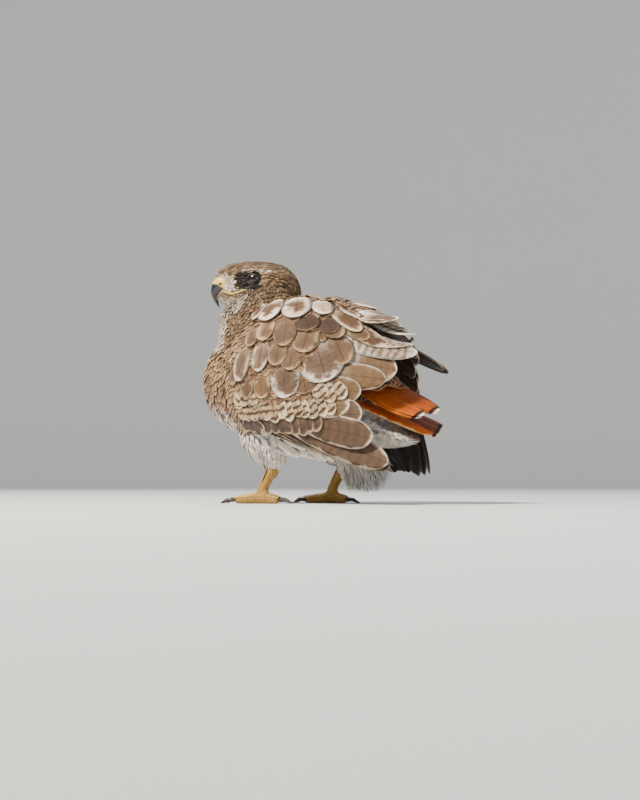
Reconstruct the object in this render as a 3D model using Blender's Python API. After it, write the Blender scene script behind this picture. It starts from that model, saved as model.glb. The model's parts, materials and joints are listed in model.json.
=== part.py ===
"""A red-tailed hawk at life size, standing with its head turned to the left, the left wing folded
and the right wing drooping beside the tail. Metres, +X forward, +Y to the bird's left, +Z up.
The origin is on the floor, at the centre of the bird's box."""
import math

import bmesh
import bpy
from mathutils import Matrix, Vector

# Driving sizes, in metres
GAP = 0.0003                      # between pieces that meet
HEAD_YAW = math.radians(34)       # the head looks to the bird's left
HEAD_CENTRE = Vector((0.071, 0.012, 0.272))
EYE_RADIUS = 0.0100
EYE_PLACE = Vector((-0.0095, 0.0232, 0.0040))     # in the head's own frame
TAIL_SLOPE = math.radians(22)
TAIL_ROLL = math.radians(10)
TAIL_ROOT = Vector((-0.072, 0.0, 0.160))
TAIL_LENGTH = 0.139
TAIL_WIDTH = 0.066
FOOT_SPREAD = 0.050               # half the distance between the feet
STEP = 0.013                      # how far the left foot is ahead of the middle
TOE_RADIUS = 0.0052
CLAW_LENGTH = 0.024
SOLE_LEVEL = 0.0009               # where the soles are flattened, before the bird is set on the floor
SIDES = 22                        # points round a body section
SHARP = math.radians(50)          # edges that turn more than this are shaded sharp

COLOURS = {
    "trunk": (0.30, 0.20, 0.13), "neck": (0.33, 0.22, 0.14), "head": (0.34, 0.24, 0.16),
    "white": (0.78, 0.72, 0.62), "wing": (0.27, 0.18, 0.12), "quill": (0.10, 0.08, 0.07),
    "tail": (0.50, 0.17, 0.06), "horn": (0.04, 0.04, 0.045), "yellow": (0.80, 0.62, 0.18),
    "eye": (0.05, 0.025, 0.015),
}
ROUGHNESS = {"horn": 0.3, "eye": 0.05, "yellow": 0.55}

for old in list(bpy.data.objects):
    bpy.data.objects.remove(old, do_unlink=True)


def finish(kind):
    """One Principled material for each kind of surface."""
    found = bpy.data.materials.get(kind)
    if found:
        return found
    made = bpy.data.materials.new(kind)
    made.use_nodes = True
    shader = made.node_tree.nodes["Principled BSDF"]
    shader.inputs["Base Color"].default_value = (*COLOURS[kind], 1)
    shader.inputs["Roughness"].default_value = ROUGHNESS.get(kind, 0.8)
    shader.inputs["Metallic"].default_value = 0.0
    return made


def object_from(name, bm, kind, guide=False):
    """Makes an object of a bmesh. A guide only cuts others and isn't part of the bird."""
    bmesh.ops.recalc_face_normals(bm, faces=bm.faces)
    mesh = bpy.data.meshes.new(name)
    bm.to_mesh(mesh)
    bm.free()
    made = bpy.data.objects.new(name, mesh)
    bpy.context.scene.collection.objects.link(made)
    if guide:
        made.hide_render = True
        made.display_type = "WIRE"
    else:
        mesh.materials.append(finish(kind))
        mesh.shade_smooth()
        mesh.set_sharp_from_angle(angle=SHARP)
    return made


def smooth_between(stations, count):
    """Reads count rows from a smooth curve through the stations, which are tuples of numbers."""
    rows = []
    last = len(stations) - 1
    for i in range(count):
        place = last * i / (count - 1)
        k = min(int(place), last - 1)
        t = place - k
        p0, p1 = stations[max(k - 1, 0)], stations[k]
        p2, p3 = stations[k + 1], stations[min(k + 2, last)]
        rows.append([
            0.5 * (2 * b + (c - a) * t + (2 * a - 5 * b + 4 * c - d) * t * t
                   + (3 * b - a - 3 * c + d) * t ** 3)
            for a, b, c, d in zip(p0, p1, p2, p3)
        ])
    return rows


def bridge_rings(bm, rings):
    """Joins rings of vertices into a closed skin with capped ends."""
    for first, second in zip(rings, rings[1:]):
        n = len(first)
        for j in range(n):
            bm.faces.new((first[j], first[(j + 1) % n], second[(j + 1) % n], second[j]))
    bm.faces.new(rings[0])
    bm.faces.new(list(reversed(rings[-1])))
    bmesh.ops.triangulate(bm, faces=bm.faces)


THINNEST = 0.0008                 # half the size of a body's smallest section


def ring_points(bm, centre, side, up, wide, high, count):
    """One oval ring of vertices, wide along side and high along up."""
    turns = (2 * math.pi * j / count for j in range(count))
    return [bm.verts.new(centre + side * wide * math.cos(a) + up * high * math.sin(a)) for a in turns]


def way_along(centres, i):
    """The way that a line of centres runs at its number i."""
    before, after = centres[max(i - 1, 0)], centres[min(i + 1, len(centres) - 1)]
    return (after - before).normalized()


def end_sign(i, count):
    """-1 at the first of a row, 1 at the last and 0 between."""
    if i == 0:
        return -1
    return 1 if i == count - 1 else 0


def loft(name, stations, kind, rings=14, sides=SIDES, grow=0.0, guide=False):
    """A round body through stations of (x, y, z, half width, half height). Each ring faces along the
    line of centres. Its half width lies level, and its half height across both."""
    rows = smooth_between(stations, rings)
    centres = [Vector(row[:3]) for row in rows]
    bm = bmesh.new()
    made = []
    for i, (_, _, _, wide, high) in enumerate(rows):
        along = way_along(centres, i)
        side = Vector((0, 1, 0))
        side = (side - along * side.dot(along)).normalized()
        up = along.cross(side).normalized()
        centre = centres[i] + along * grow * end_sign(i, rings)
        wide, high = max(wide, THINNEST) + grow, max(high, THINNEST) + grow
        made.append(ring_points(bm, centre, side, up, wide, high, sides))
    bridge_rings(bm, made)
    return object_from(name, bm, kind, guide)


def sections(name, stations, kind, rings=18, grow=0.0, guide=False):
    """A body cut square to X: stations of (x, centre y, centre z, half width, height above, depth
    below), in order along X."""
    rows = smooth_between(stations, rings)
    onward = 1 if rows[-1][0] > rows[0][0] else -1
    bm = bmesh.new()
    made = []
    for i, (x, y, z, wide, above, below) in enumerate(rows):
        x += grow * end_sign(i, rings) * onward
        wide = max(wide, THINNEST) + grow
        ring = []
        for j in range(SIDES):
            a = 2 * math.pi * j / SIDES
            tall = max(above if math.sin(a) > 0 else below, THINNEST) + grow
            ring.append(bm.verts.new((x, y + wide * math.cos(a), z + tall * math.sin(a))))
        made.append(ring)
    bridge_rings(bm, made)
    return object_from(name, bm, kind, guide)


RIM_SHARE = 0.35                  # how thick a plate's edges are, of its middle
PLATE_SWELL = 2.5                 # a plate's guide is swollen by this many gaps, because its rims slant


def plate(name, rows, thick, kind, guide=False):
    """A curved plate: rows of points from its top edge to its lower edge, thick on both sides of them.
    thick is one number for each row. A guide is swollen past the gap between pieces."""
    bm = bmesh.new()
    count, across = len(rows), len(rows[0])
    sheets = []
    for way in (1, -1):
        sheet = []
        for i in range(count):
            line = []
            for j in range(across):
                along = rows[min(i + 1, count - 1)][j] - rows[max(i - 1, 0)][j]
                down = rows[i][min(j + 1, across - 1)] - rows[i][max(j - 1, 0)]
                normal = along.cross(down).normalized()
                rim = RIM_SHARE if j in (0, across - 1) else 1.0
                line.append(bm.verts.new(rows[i][j] + normal * way * thick[i] * rim / 2))
            sheet.append(line)
        sheets.append(sheet)
    near, far = sheets
    for i in range(count - 1):
        for j in range(across - 1):
            bm.faces.new((near[i][j], near[i][j + 1], near[i + 1][j + 1], near[i + 1][j]))
            bm.faces.new((far[i][j], far[i + 1][j], far[i + 1][j + 1], far[i][j + 1]))
    for j in range(across - 1):
        bm.faces.new((near[0][j], far[0][j], far[0][j + 1], near[0][j + 1]))
        bm.faces.new((near[-1][j], near[-1][j + 1], far[-1][j + 1], far[-1][j]))
    for i in range(count - 1):
        bm.faces.new((near[i][0], near[i + 1][0], far[i + 1][0], far[i][0]))
        bm.faces.new((near[i][-1], far[i][-1], far[i + 1][-1], near[i + 1][-1]))
    bmesh.ops.triangulate(bm, faces=bm.faces)
    made = object_from(name, bm, kind, guide)
    if guide:
        swell = made.modifiers.new("swell", "DISPLACE")
        swell.mid_level = 0.0
        swell.strength = PLATE_SWELL * GAP
    return made


def cut(piece, *guides):
    """Takes the guides' space out of a piece."""
    for guide in guides:
        step = piece.modifiers.new("cut_" + guide.name, "BOOLEAN")
        step.operation = "DIFFERENCE"
        step.solver = "EXACT"
        step.object = guide


def join_to(piece, *others):
    """Makes one body of a piece and guides that overlap it."""
    for other in others:
        step = piece.modifiers.new("join_" + other.name, "BOOLEAN")
        step.operation = "UNION"
        step.solver = "EXACT"
        step.object = other


# Trunk: an egg on its side, deep at the breast and drawn out to the root of the tail
TRUNK = [
    (0.134, 0, 0.150, 0.004, 0.004, 0.004), (0.126, 0, 0.150, 0.034, 0.036, 0.034),
    (0.106, 0, 0.152, 0.054, 0.054, 0.058), (0.072, 0, 0.157, 0.066, 0.070, 0.073),
    (0.030, 0, 0.163, 0.072, 0.081, 0.084), (-0.015, 0, 0.166, 0.071, 0.086, 0.096),
    (-0.055, 0, 0.163, 0.062, 0.070, 0.098), (-0.090, 0, 0.155, 0.046, 0.050, 0.076),
    (-0.118, 0, 0.147, 0.030, 0.026, 0.034), (-0.128, 0, 0.143, 0.012, 0.010, 0.012),
]


def make_trunk(grow=0.0, guide=False):
    return sections("trunk_guide" if guide else "trunk", TRUNK, "trunk", 18, grow, guide)


# Neck: a short thick column that leans with the head
NECK = [
    (0.052, 0.002, 0.186, 0.058, 0.060), (0.056, 0.005, 0.216, 0.052, 0.056),
    (0.058, 0.010, 0.244, 0.042, 0.050), (0.064, 0.012, 0.268, 0.024, 0.030),
]

# Head, in its own frame: +X to the bill, from the nape to the root of the cere
HEAD = [
    (-0.064, 0, -0.013, 0.006, 0.006, 0.006), (-0.057, 0, -0.009, 0.0215, 0.020, 0.020),
    (-0.040, 0, -0.004, 0.0305, 0.0285, 0.029), (-0.014, 0, -0.001, 0.0330, 0.0290, 0.031),
    (0.008, 0, -0.002, 0.0300, 0.0302, 0.028), (0.024, 0, -0.005, 0.0240, 0.0305, 0.021),
    (0.0355, 0, -0.008, 0.0170, 0.0280, 0.0145), (0.0425, 0, -0.009, 0.0105, 0.0215, 0.0100),
]


def in_head(made):
    """Turns a mesh made in the head's frame and sets it on the neck."""
    made.data.transform(Matrix.Translation(HEAD_CENTRE) @ Matrix.Rotation(HEAD_YAW, 4, "Z"))
    return made


def make_head(grow=0.0, guide=False):
    name = "head_guide" if guide else "head"
    return in_head(sections(name, HEAD, "head", 13, grow, guide))


# Bill: a cere and a hooked upper half, over a short lower half
BILL_ROOT = (0.0330, -0.0015)     # x and z of the root's centre, in the head's own frame
BILL_CHORD = 0.0170               # how far the bill reaches ahead of its root
BILL_DROP = 0.0246                # how far the hook falls below the root
BILL_TURN = math.radians(98)      # how far the bill's line turns on its way to the hook
BILL_HALF_WIDTH = 0.0082
BILL_HALF_HEIGHT = 0.0088
HOOK_RADIUS = 0.0007


def bill_upper_stations(count=8):
    """Centres on about a quarter turn that ends in the hook, with sections that thin out to it."""
    found = []
    for i in range(count):
        t = i / (count - 1)
        turn = t * BILL_TURN
        x = BILL_ROOT[0] + BILL_CHORD * math.sin(turn) * (1 - 0.20 * t * t)
        z = BILL_ROOT[1] - BILL_DROP * (1 - math.cos(turn * 0.92))
        size = (1 - t) ** 0.62
        found.append((x, 0, z, BILL_HALF_WIDTH * size + HOOK_RADIUS, BILL_HALF_HEIGHT * size + HOOK_RADIUS))
    return found


BILL_LOWER = [
    (0.0320, 0, -0.0150, 0.0078, 0.0038), (0.0395, 0, -0.0163, 0.0068, 0.0035),
    (0.0450, 0, -0.0185, 0.0046, 0.0026), (0.0480, 0, -0.0200, 0.0020, 0.0014),
]


def make_bill_upper(grow=0.0, guide=False):
    name = "bill_upper_guide" if guide else "bill_upper"
    return in_head(loft(name, bill_upper_stations(), "horn", 10, 16, grow, guide))


def make_eye(side, word, grow=0.0, guide=False):
    """An eyeball, side is 1 on the left and -1 on the right."""
    bm = bmesh.new()
    bmesh.ops.create_icosphere(bm, subdivisions=2, radius=EYE_RADIUS + grow)
    place = Vector((EYE_PLACE.x, EYE_PLACE.y * side, EYE_PLACE.z))
    bmesh.ops.translate(bm, verts=bm.verts, vec=place)
    return in_head(object_from(f"eye_{word}" + ("_guide" if guide else ""), bm, "eye", guide))


# Tail: twelve feathers folded into a roof-shaped stack, thickest at its root
TAIL_ROWS = 9
TAIL_POINTS = 9                   # points across each row
TAIL_THICK = [0.018 - 0.001 * i for i in range(TAIL_ROWS)]


def tail_rows():
    """Rows across the tail from its root to its tip. Its sides hang lower than its middle."""
    rows = []
    axis = Vector((-math.cos(TAIL_SLOPE), 0, -math.sin(TAIL_SLOPE)))
    roll = Matrix.Rotation(TAIL_ROLL, 3, axis)
    side = roll @ Vector((0, 1, 0))
    up = axis.cross(side)
    if up.z < 0:
        up = -up
    for i in range(TAIL_ROWS):
        t = i / (TAIL_ROWS - 1)
        half = TAIL_WIDTH / 2 * (0.72 + 0.36 * t - 0.10 * t ** 6)
        line = []
        for j in range(TAIL_POINTS):
            across = -1 + 2 * j / (TAIL_POINTS - 1)
            reach = TAIL_LENGTH * t * (1 + 0.02 * (1 - across * across))
            sag = (0.010 + 0.009 * t) * abs(across) ** 1.6
            line.append(TAIL_ROOT + axis * reach + side * half * across - up * sag)
        rows.append(line)
    return rows


# Undertail coverts: a soft pale wedge below the tail
UNDERTAIL = [
    (-0.088, 0.0, 0.104, 0.042, 0.026), (-0.104, 0.0, 0.101, 0.040, 0.029),
    (-0.130, 0.0, 0.092, 0.033, 0.026), (-0.162, 0.0, 0.082, 0.021, 0.015),
    (-0.182, 0.0, 0.076, 0.007, 0.004),
]

# Wings. Each row runs from the back over the side to the lower edge: x at its top and at its lower
# edge, then four points (y, z). Behind, the wings meet over the rump like a roof
LEFT_WING = [
    (0.052, 0.052, (0.056, 0.196), (0.067, 0.170), (0.069, 0.140), (0.066, 0.112)),
    (0.030, 0.030, (0.046, 0.226), (0.074, 0.190), (0.081, 0.140), (0.073, 0.094)),
    (-0.015, -0.015, (0.030, 0.250), (0.074, 0.208), (0.086, 0.140), (0.077, 0.083)),
    (-0.065, -0.065, (0.012, 0.240), (0.060, 0.206), (0.083, 0.138), (0.077, 0.078)),
    (-0.110, -0.110, (0.005, 0.214), (0.044, 0.186), (0.071, 0.126), (0.071, 0.073)),
    (-0.138, -0.152, (0.005, 0.194), (0.034, 0.168), (0.060, 0.112), (0.064, 0.058)),
    (-0.154, -0.187, (0.007, 0.180), (0.032, 0.148), (0.054, 0.092), (0.056, 0.044)),
]
RIGHT_WING = [
    (0.052, 0.052, (-0.056, 0.196), (-0.067, 0.170), (-0.069, 0.140), (-0.066, 0.112)),
    (0.030, 0.030, (-0.046, 0.228), (-0.074, 0.194), (-0.081, 0.142), (-0.073, 0.096)),
    (-0.010, -0.010, (-0.030, 0.253), (-0.070, 0.222), (-0.087, 0.146), (-0.079, 0.087)),
    (-0.052, -0.052, (-0.016, 0.239), (-0.060, 0.229), (-0.089, 0.160), (-0.083, 0.082)),
    (-0.090, -0.088, (-0.008, 0.221), (-0.057, 0.221), (-0.088, 0.162), (-0.086, 0.086)),
    (-0.122, -0.106, (-0.006, 0.204), (-0.053, 0.209), (-0.083, 0.157), (-0.086, 0.094)),
    (-0.148, -0.114, (-0.009, 0.188), (-0.048, 0.191), (-0.077, 0.150), (-0.084, 0.104)),
]
WING_ROWS = 11
WING_POINTS = 9                   # points down each row
STATION_THICK = [(0.010,), (0.016,), (0.018,), (0.017,), (0.012,), (0.007,), (0.003,)]
WING_THICK = [row[0] for row in smooth_between(STATION_THICK, WING_ROWS)]


def wing_rows(stations):
    """Smooths a wing's stations into more rows, with more points in each."""
    rows = []
    flat = [(top, low, *(v for p in points for v in p)) for top, low, *points in stations]
    for top, low, *values in smooth_between(flat, WING_ROWS):
        points = list(zip(values[::2], values[1::2]))
        line = smooth_between(points, WING_POINTS)
        step = (low - top) / (WING_POINTS - 1)
        rows.append([Vector((top + step * j, y, z)) for j, (y, z) in enumerate(line)])
    return rows


# Flight feathers that reach past the folded wings, each fan as one plate
FAN_ROWS = 8
FAN_POINTS = 6                    # points across each row
FAN_THICK = [0.0030 - 0.0003 * i for i in range(FAN_ROWS)]
TIP_BULGE = 0.006                 # how far the middle of a fan's end stands out


def fan_rows(root_top, root_low, tip_top, tip_low, bow=0.0):
    """Rows from a fan's root to its tips, given at its top and lower edges. bow moves the fan's middle
    along y, in metres."""
    rows = []
    for i in range(FAN_ROWS):
        t = i / (FAN_ROWS - 1)
        line = []
        for j in range(FAN_POINTS):
            s = j / (FAN_POINTS - 1)
            root, tip = root_top.lerp(root_low, s), tip_top.lerp(tip_low, s)
            point = root.lerp(tip, t)
            point.y += bow * 4 * t * (1 - t)
            point += (tip - root).normalized() * TIP_BULGE * math.sin(math.pi * s) * t
            line.append(point)
        rows.append(line)
    return rows


PRIMARIES_RIGHT = fan_rows(
    Vector((-0.104, -0.0955, 0.150)), Vector((-0.030, -0.0965, 0.110)),
    Vector((-0.131, -0.090, 0.036)), Vector((-0.078, -0.090, 0.040)), -0.004)
PRIMARIES_LEFT = fan_rows(
    Vector((-0.120, 0.056, 0.092)), Vector((-0.110, 0.060, 0.066)),
    Vector((-0.174, 0.042, 0.062)), Vector((-0.177, 0.044, 0.042)))
TERTIAL_RIGHT = fan_rows(
    Vector((-0.110, -0.086, 0.188)), Vector((-0.108, -0.0885, 0.172)),
    Vector((-0.160, -0.091, 0.158)), Vector((-0.157, -0.092, 0.147)))


# Legs: the right one is mirrored and set back, and its shaggy feathers, its flag, reach further behind
FLAG_REACH = 0.030


def leg(side):
    """Centres of a leg's joints: hip, knee, ankle and foot. side is 1 on the left and -1 on the right."""
    shift = STEP * side
    y = FOOT_SPREAD * side
    return (
        Vector((shift - 0.006, 0.040 * side, 0.128)), Vector((shift + 0.000, 0.050 * side, 0.090)),
        Vector((shift - 0.018, y, 0.046)), Vector((shift + 0.002, y, 0.012)),
    )


def thigh_stations(side):
    """The feathered thigh, from inside the trunk to its narrow end at the ankle."""
    hip, knee, ankle, _ = leg(side)
    flag = FLAG_REACH if side < 0 else 0.0
    return [
        (hip.x - flag, hip.y, hip.z, 0.030, 0.042 + flag / 2),
        (knee.x - 0.7 * flag, knee.y, knee.z, 0.029, 0.035 + flag / 2),
        (knee.x - 0.010 - 0.8 * flag, 0.051 * side, 0.066, 0.022, 0.025 + flag * 0.55),
        (ankle.x + 0.001 - 0.7 * flag, ankle.y, ankle.z + 0.002, 0.013, 0.014 + flag * 0.5),
        (ankle.x + 0.005 - 0.8 * flag, ankle.y, ankle.z - 0.012 - 0.2 * flag, 0.0085, 0.0085 + flag * 0.5),
    ]


def tarsus_stations(side):
    """The bare shank, from the ankle into the foot."""
    _, _, ankle, foot = leg(side)
    return [
        (ankle.x + 0.003, ankle.y, ankle.z + 0.004, 0.0048, 0.0048),
        (ankle.x + 0.008, ankle.y, ankle.z - 0.010, 0.0050, 0.0056),
        (foot.x - 0.001, foot.y, foot.z + 0.008, 0.0056, 0.0060),
        (foot.x, foot.y, foot.z - 0.002, 0.0062, 0.0066),
    ]


# Toes of each foot: heading from straight ahead and length, inner, middle, outer and hind
TOES = (("inner", 34, 0.030), ("middle", 2, 0.043), ("outer", -32, 0.033), ("hind", 176, 0.024))
# A toe's joints: share of its length, height of its centre line, and its radius as a share of TOE_RADIUS
TOE_JOINTS = ((0.0, 0.0095, 1.25), (0.3, 0.0078, 1.08), (0.55, 0.0062, 1.16), (0.8, 0.0060, 0.98),
              (1.0, 0.0054, 0.80))


def toe_path(side, heading, length):
    """The points of one toe, from the ball of the foot to the root of its claw, and its way."""
    _, _, _, foot = leg(side)
    turn = math.radians(heading) * -side
    way = Vector((math.cos(turn), math.sin(turn), 0))
    points = [Vector((foot.x, foot.y, height)) + way * length * t for t, height, _ in TOE_JOINTS]
    return points, way


def tube_along(name, points, radii, kind, sides=8, rings=8, grow=0.0, guide=False):
    """A round bar of changing radius along points of any direction."""
    rows = smooth_between([(*p, r) for p, r in zip(points, radii)], rings)
    centres = [Vector(row[:3]) for row in rows]
    bm = bmesh.new()
    made = []
    for i, row in enumerate(rows):
        along = way_along(centres, i)
        side = along.cross(Vector((0, 0, 1))).normalized()
        up = side.cross(along).normalized()
        centre = centres[i] + along * grow * end_sign(i, rings)
        radius = row[3] + grow
        made.append(ring_points(bm, centre, side, up, radius, radius, sides))
    bridge_rings(bm, made)
    return object_from(name, bm, kind, guide)


CLAW_RADII = (0.0030, 0.0028, 0.0024, 0.0019, 0.0013, 0.0006)
CLAW_RISE = math.radians(28)      # a claw leaves its toe upwards at this angle
CLAW_CURL = math.radians(98)      # and turns down by this much on its way to its point
CLAW_INSET = 0.0020               # from the toe's last joint to the claw's root


def claw_points(side, heading, length):
    """The centre line of a claw: up over the end of the toe and down to its point, clear of the floor."""
    path, way = toe_path(side, heading, length)
    place = path[-1] + way * CLAW_INSET
    steps = len(CLAW_RADII) - 1
    reach = CLAW_LENGTH * (1.1 if heading > 90 else 0.9)
    found = [place]
    for i in range(1, steps + 1):
        turn = CLAW_RISE - CLAW_CURL * i / steps
        place = place + (way * math.cos(turn) + Vector((0, 0, math.sin(turn)))) * reach / steps
        found.append(place)
    return [Vector((p.x, p.y, max(p.z, SOLE_LEVEL + r + 0.0002))) for p, r in zip(found, CLAW_RADII)]


BALL = ((-0.008, -0.0040, 0.0068), (0.0, -0.0035, 0.0086), (0.009, -0.0050, 0.0066))
FLOOR_BLOCK = Vector((0.3, 0.3, 0.05))


def make_foot(side, word):
    """The ball and the four toes as one body, with its soles cut level on the floor."""
    _, _, _, foot = leg(side)
    middle = [foot + Vector((x, 0, z)) for x, z, _ in BALL]
    ball = tube_along(f"foot_{word}", middle, [radius for _, _, radius in BALL], "yellow", 10, 6)
    toes = []
    radii = [TOE_RADIUS * share for _, _, share in TOE_JOINTS]
    for name, heading, length in TOES:
        points, _ = toe_path(side, heading, length)
        toes.append(tube_along(f"toe_{name}_{word}_guide", points, radii, "yellow", guide=True))
    join_to(ball, *toes)
    bm = bmesh.new()
    bmesh.ops.create_cube(bm, size=1)
    bmesh.ops.scale(bm, vec=FLOOR_BLOCK, verts=bm.verts)
    bmesh.ops.translate(bm, vec=(foot.x, foot.y, SOLE_LEVEL - FLOOR_BLOCK.z / 2), verts=bm.verts)
    cut(ball, object_from(f"floor_{word}_guide", bm, "yellow", True))
    return ball


def make_head_parts(trunk_guide):
    """The head, the two halves of the bill and the eyes. Gives back the head's guide."""
    head = make_head()
    bill_guide = make_bill_upper(GAP, True)
    make_bill_upper()
    lower = in_head(loft("bill_lower", BILL_LOWER, "horn", 7, 14))
    lower_guide = in_head(loft("bill_lower_guide", BILL_LOWER, "horn", 7, 14, GAP, True))
    cut(lower, bill_guide)
    eye_guides = []
    for side, word in ((1, "left"), (-1, "right")):
        make_eye(side, word)
        eye_guides.append(make_eye(side, word, GAP, True))
    cut(head, trunk_guide, *eye_guides, bill_guide, lower_guide)
    return make_head(GAP, True)


def make_flight_feathers(left_guide, right_guide, trunk_guide):
    """The fans that reach past the folded wings."""
    primaries_left = plate("primaries_left", PRIMARIES_LEFT, FAN_THICK, "quill")
    cut(primaries_left, left_guide, trunk_guide)
    for name, rows in (("primaries_right", PRIMARIES_RIGHT), ("tertial_right", TERTIAL_RIGHT)):
        cut(plate(name, rows, FAN_THICK, "quill"), right_guide)


def make_leg(side, word, trunk_guide, wing_guide, thigh_guide):
    """One thigh, shank and foot with its claws."""
    thigh = loft(f"thigh_{word}", thigh_stations(side), "white", 10, 16)
    cut(thigh, trunk_guide, wing_guide)
    tarsus = loft(f"tarsus_{word}", tarsus_stations(side), "yellow", 8, 12)
    tarsus_guide = loft(f"tarsus_{word}_guide", tarsus_stations(side), "yellow", 8, 12, GAP, True)
    cut(tarsus, thigh_guide)
    foot = make_foot(side, word)
    cut(foot, tarsus_guide)
    for name, heading, length in TOES:
        points = claw_points(side, heading, length)
        tube_along(f"claw_{name}_{word}", points, CLAW_RADII, "horn", 8, 7)
        cut(foot, tube_along(f"claw_{name}_{word}_guide", points, CLAW_RADII, "horn", 8, 7, GAP, True))


def build():
    """Makes every piece, and trims each against those that it meets."""
    make_trunk()
    trunk_guide = make_trunk(GAP, True)
    head_guide = make_head_parts(trunk_guide)
    neck = loft("neck", NECK, "neck", 8)
    cut(neck, trunk_guide, head_guide)
    neck_guide = loft("neck_guide", NECK, "neck", 8, SIDES, GAP, True)

    tail = plate("tail", tail_rows(), TAIL_THICK, "tail")
    tail_guide = plate("tail_guide", tail_rows(), TAIL_THICK, "tail", True)
    cut(tail, trunk_guide)
    thigh_guides = {
        word: loft(f"thigh_{word}_guide", thigh_stations(side), "white", 10, 16, GAP, True)
        for side, word in ((1, "left"), (-1, "right"))
    }
    undertail = loft("undertail", UNDERTAIL, "white", 10, 16)
    cut(undertail, trunk_guide, tail_guide, *thigh_guides.values())

    wing_guides = {}
    for word, stations in (("left", LEFT_WING), ("right", RIGHT_WING)):
        wing = plate(f"wing_{word}", wing_rows(stations), WING_THICK, "wing")
        cut(wing, trunk_guide, tail_guide, neck_guide)
        wing_guides[word] = plate(f"wing_{word}_guide", wing_rows(stations), WING_THICK, "wing", True)
    make_flight_feathers(wing_guides["left"], wing_guides["right"], trunk_guide)
    for side, word in ((1, "left"), (-1, "right")):
        make_leg(side, word, trunk_guide, wing_guides[word], thigh_guides[word])


def set_on_origin():
    """Moves the whole bird so that its box stands on the origin, centred over it."""
    depsgraph = bpy.context.evaluated_depsgraph_get()
    shown = [o for o in bpy.data.objects if not o.hide_render]
    points = [v.co for o in shown for v in o.evaluated_get(depsgraph).data.vertices]
    low = Vector(min(p[k] for p in points) for k in range(3))
    high = Vector(max(p[k] for p in points) for k in range(3))
    shift = Vector(((low.x + high.x) / 2, (low.y + high.y) / 2, low.z))
    for made in bpy.data.objects:
        made.data.transform(Matrix.Translation(-shift))


build()
set_on_origin()
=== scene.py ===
"""A red-tailed hawk as a life-size museum model, feather by feather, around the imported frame."""
import json
import math

import bmesh
import bpy
import numpy as np
from mathutils import Matrix, Vector
from mathutils.bvhtree import BVHTree
from mathutils.kdtree import KDTree
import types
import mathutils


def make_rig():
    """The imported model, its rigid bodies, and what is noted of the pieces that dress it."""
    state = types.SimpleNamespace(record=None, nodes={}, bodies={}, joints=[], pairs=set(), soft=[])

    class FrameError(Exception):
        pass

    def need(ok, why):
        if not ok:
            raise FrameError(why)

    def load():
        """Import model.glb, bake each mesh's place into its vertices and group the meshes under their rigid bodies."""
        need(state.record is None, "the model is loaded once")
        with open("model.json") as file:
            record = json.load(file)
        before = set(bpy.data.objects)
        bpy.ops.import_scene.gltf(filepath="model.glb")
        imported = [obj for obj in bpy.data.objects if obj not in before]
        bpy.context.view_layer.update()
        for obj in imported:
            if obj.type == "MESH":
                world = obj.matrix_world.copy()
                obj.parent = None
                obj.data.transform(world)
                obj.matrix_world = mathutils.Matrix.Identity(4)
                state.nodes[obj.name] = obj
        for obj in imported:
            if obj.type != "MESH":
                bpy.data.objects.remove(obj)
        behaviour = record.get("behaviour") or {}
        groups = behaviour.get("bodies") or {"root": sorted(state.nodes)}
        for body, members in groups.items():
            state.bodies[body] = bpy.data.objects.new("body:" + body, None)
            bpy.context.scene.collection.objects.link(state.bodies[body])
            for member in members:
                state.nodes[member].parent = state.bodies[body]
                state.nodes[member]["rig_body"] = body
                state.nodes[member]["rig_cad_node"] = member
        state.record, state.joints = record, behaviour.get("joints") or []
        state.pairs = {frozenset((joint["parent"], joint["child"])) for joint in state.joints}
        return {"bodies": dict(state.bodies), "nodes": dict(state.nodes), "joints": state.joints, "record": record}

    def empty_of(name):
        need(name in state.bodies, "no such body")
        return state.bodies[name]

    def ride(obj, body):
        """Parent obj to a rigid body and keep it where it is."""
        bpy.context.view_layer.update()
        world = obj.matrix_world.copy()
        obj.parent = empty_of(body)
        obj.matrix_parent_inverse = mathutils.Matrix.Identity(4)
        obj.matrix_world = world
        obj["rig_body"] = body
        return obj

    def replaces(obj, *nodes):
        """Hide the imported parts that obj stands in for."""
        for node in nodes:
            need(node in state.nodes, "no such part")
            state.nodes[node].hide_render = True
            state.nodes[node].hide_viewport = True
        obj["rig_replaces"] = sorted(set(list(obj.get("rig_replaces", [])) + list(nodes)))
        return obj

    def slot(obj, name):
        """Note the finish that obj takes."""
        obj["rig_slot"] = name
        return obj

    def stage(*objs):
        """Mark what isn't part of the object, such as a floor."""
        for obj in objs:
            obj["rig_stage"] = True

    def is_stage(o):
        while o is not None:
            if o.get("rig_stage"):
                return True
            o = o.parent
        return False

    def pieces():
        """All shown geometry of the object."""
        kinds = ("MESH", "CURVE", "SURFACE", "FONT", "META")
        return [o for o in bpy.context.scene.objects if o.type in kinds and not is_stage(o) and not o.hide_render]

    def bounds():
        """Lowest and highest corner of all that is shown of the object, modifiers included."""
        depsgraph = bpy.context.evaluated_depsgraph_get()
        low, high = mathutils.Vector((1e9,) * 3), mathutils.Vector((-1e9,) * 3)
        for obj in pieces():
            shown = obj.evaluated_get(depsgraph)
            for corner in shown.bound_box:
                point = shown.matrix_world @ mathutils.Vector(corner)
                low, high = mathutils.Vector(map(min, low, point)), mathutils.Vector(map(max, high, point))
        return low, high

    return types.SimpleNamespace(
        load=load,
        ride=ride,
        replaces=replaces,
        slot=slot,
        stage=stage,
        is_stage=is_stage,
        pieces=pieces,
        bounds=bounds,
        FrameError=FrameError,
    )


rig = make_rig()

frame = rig.load()
cad_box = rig.bounds()

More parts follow.
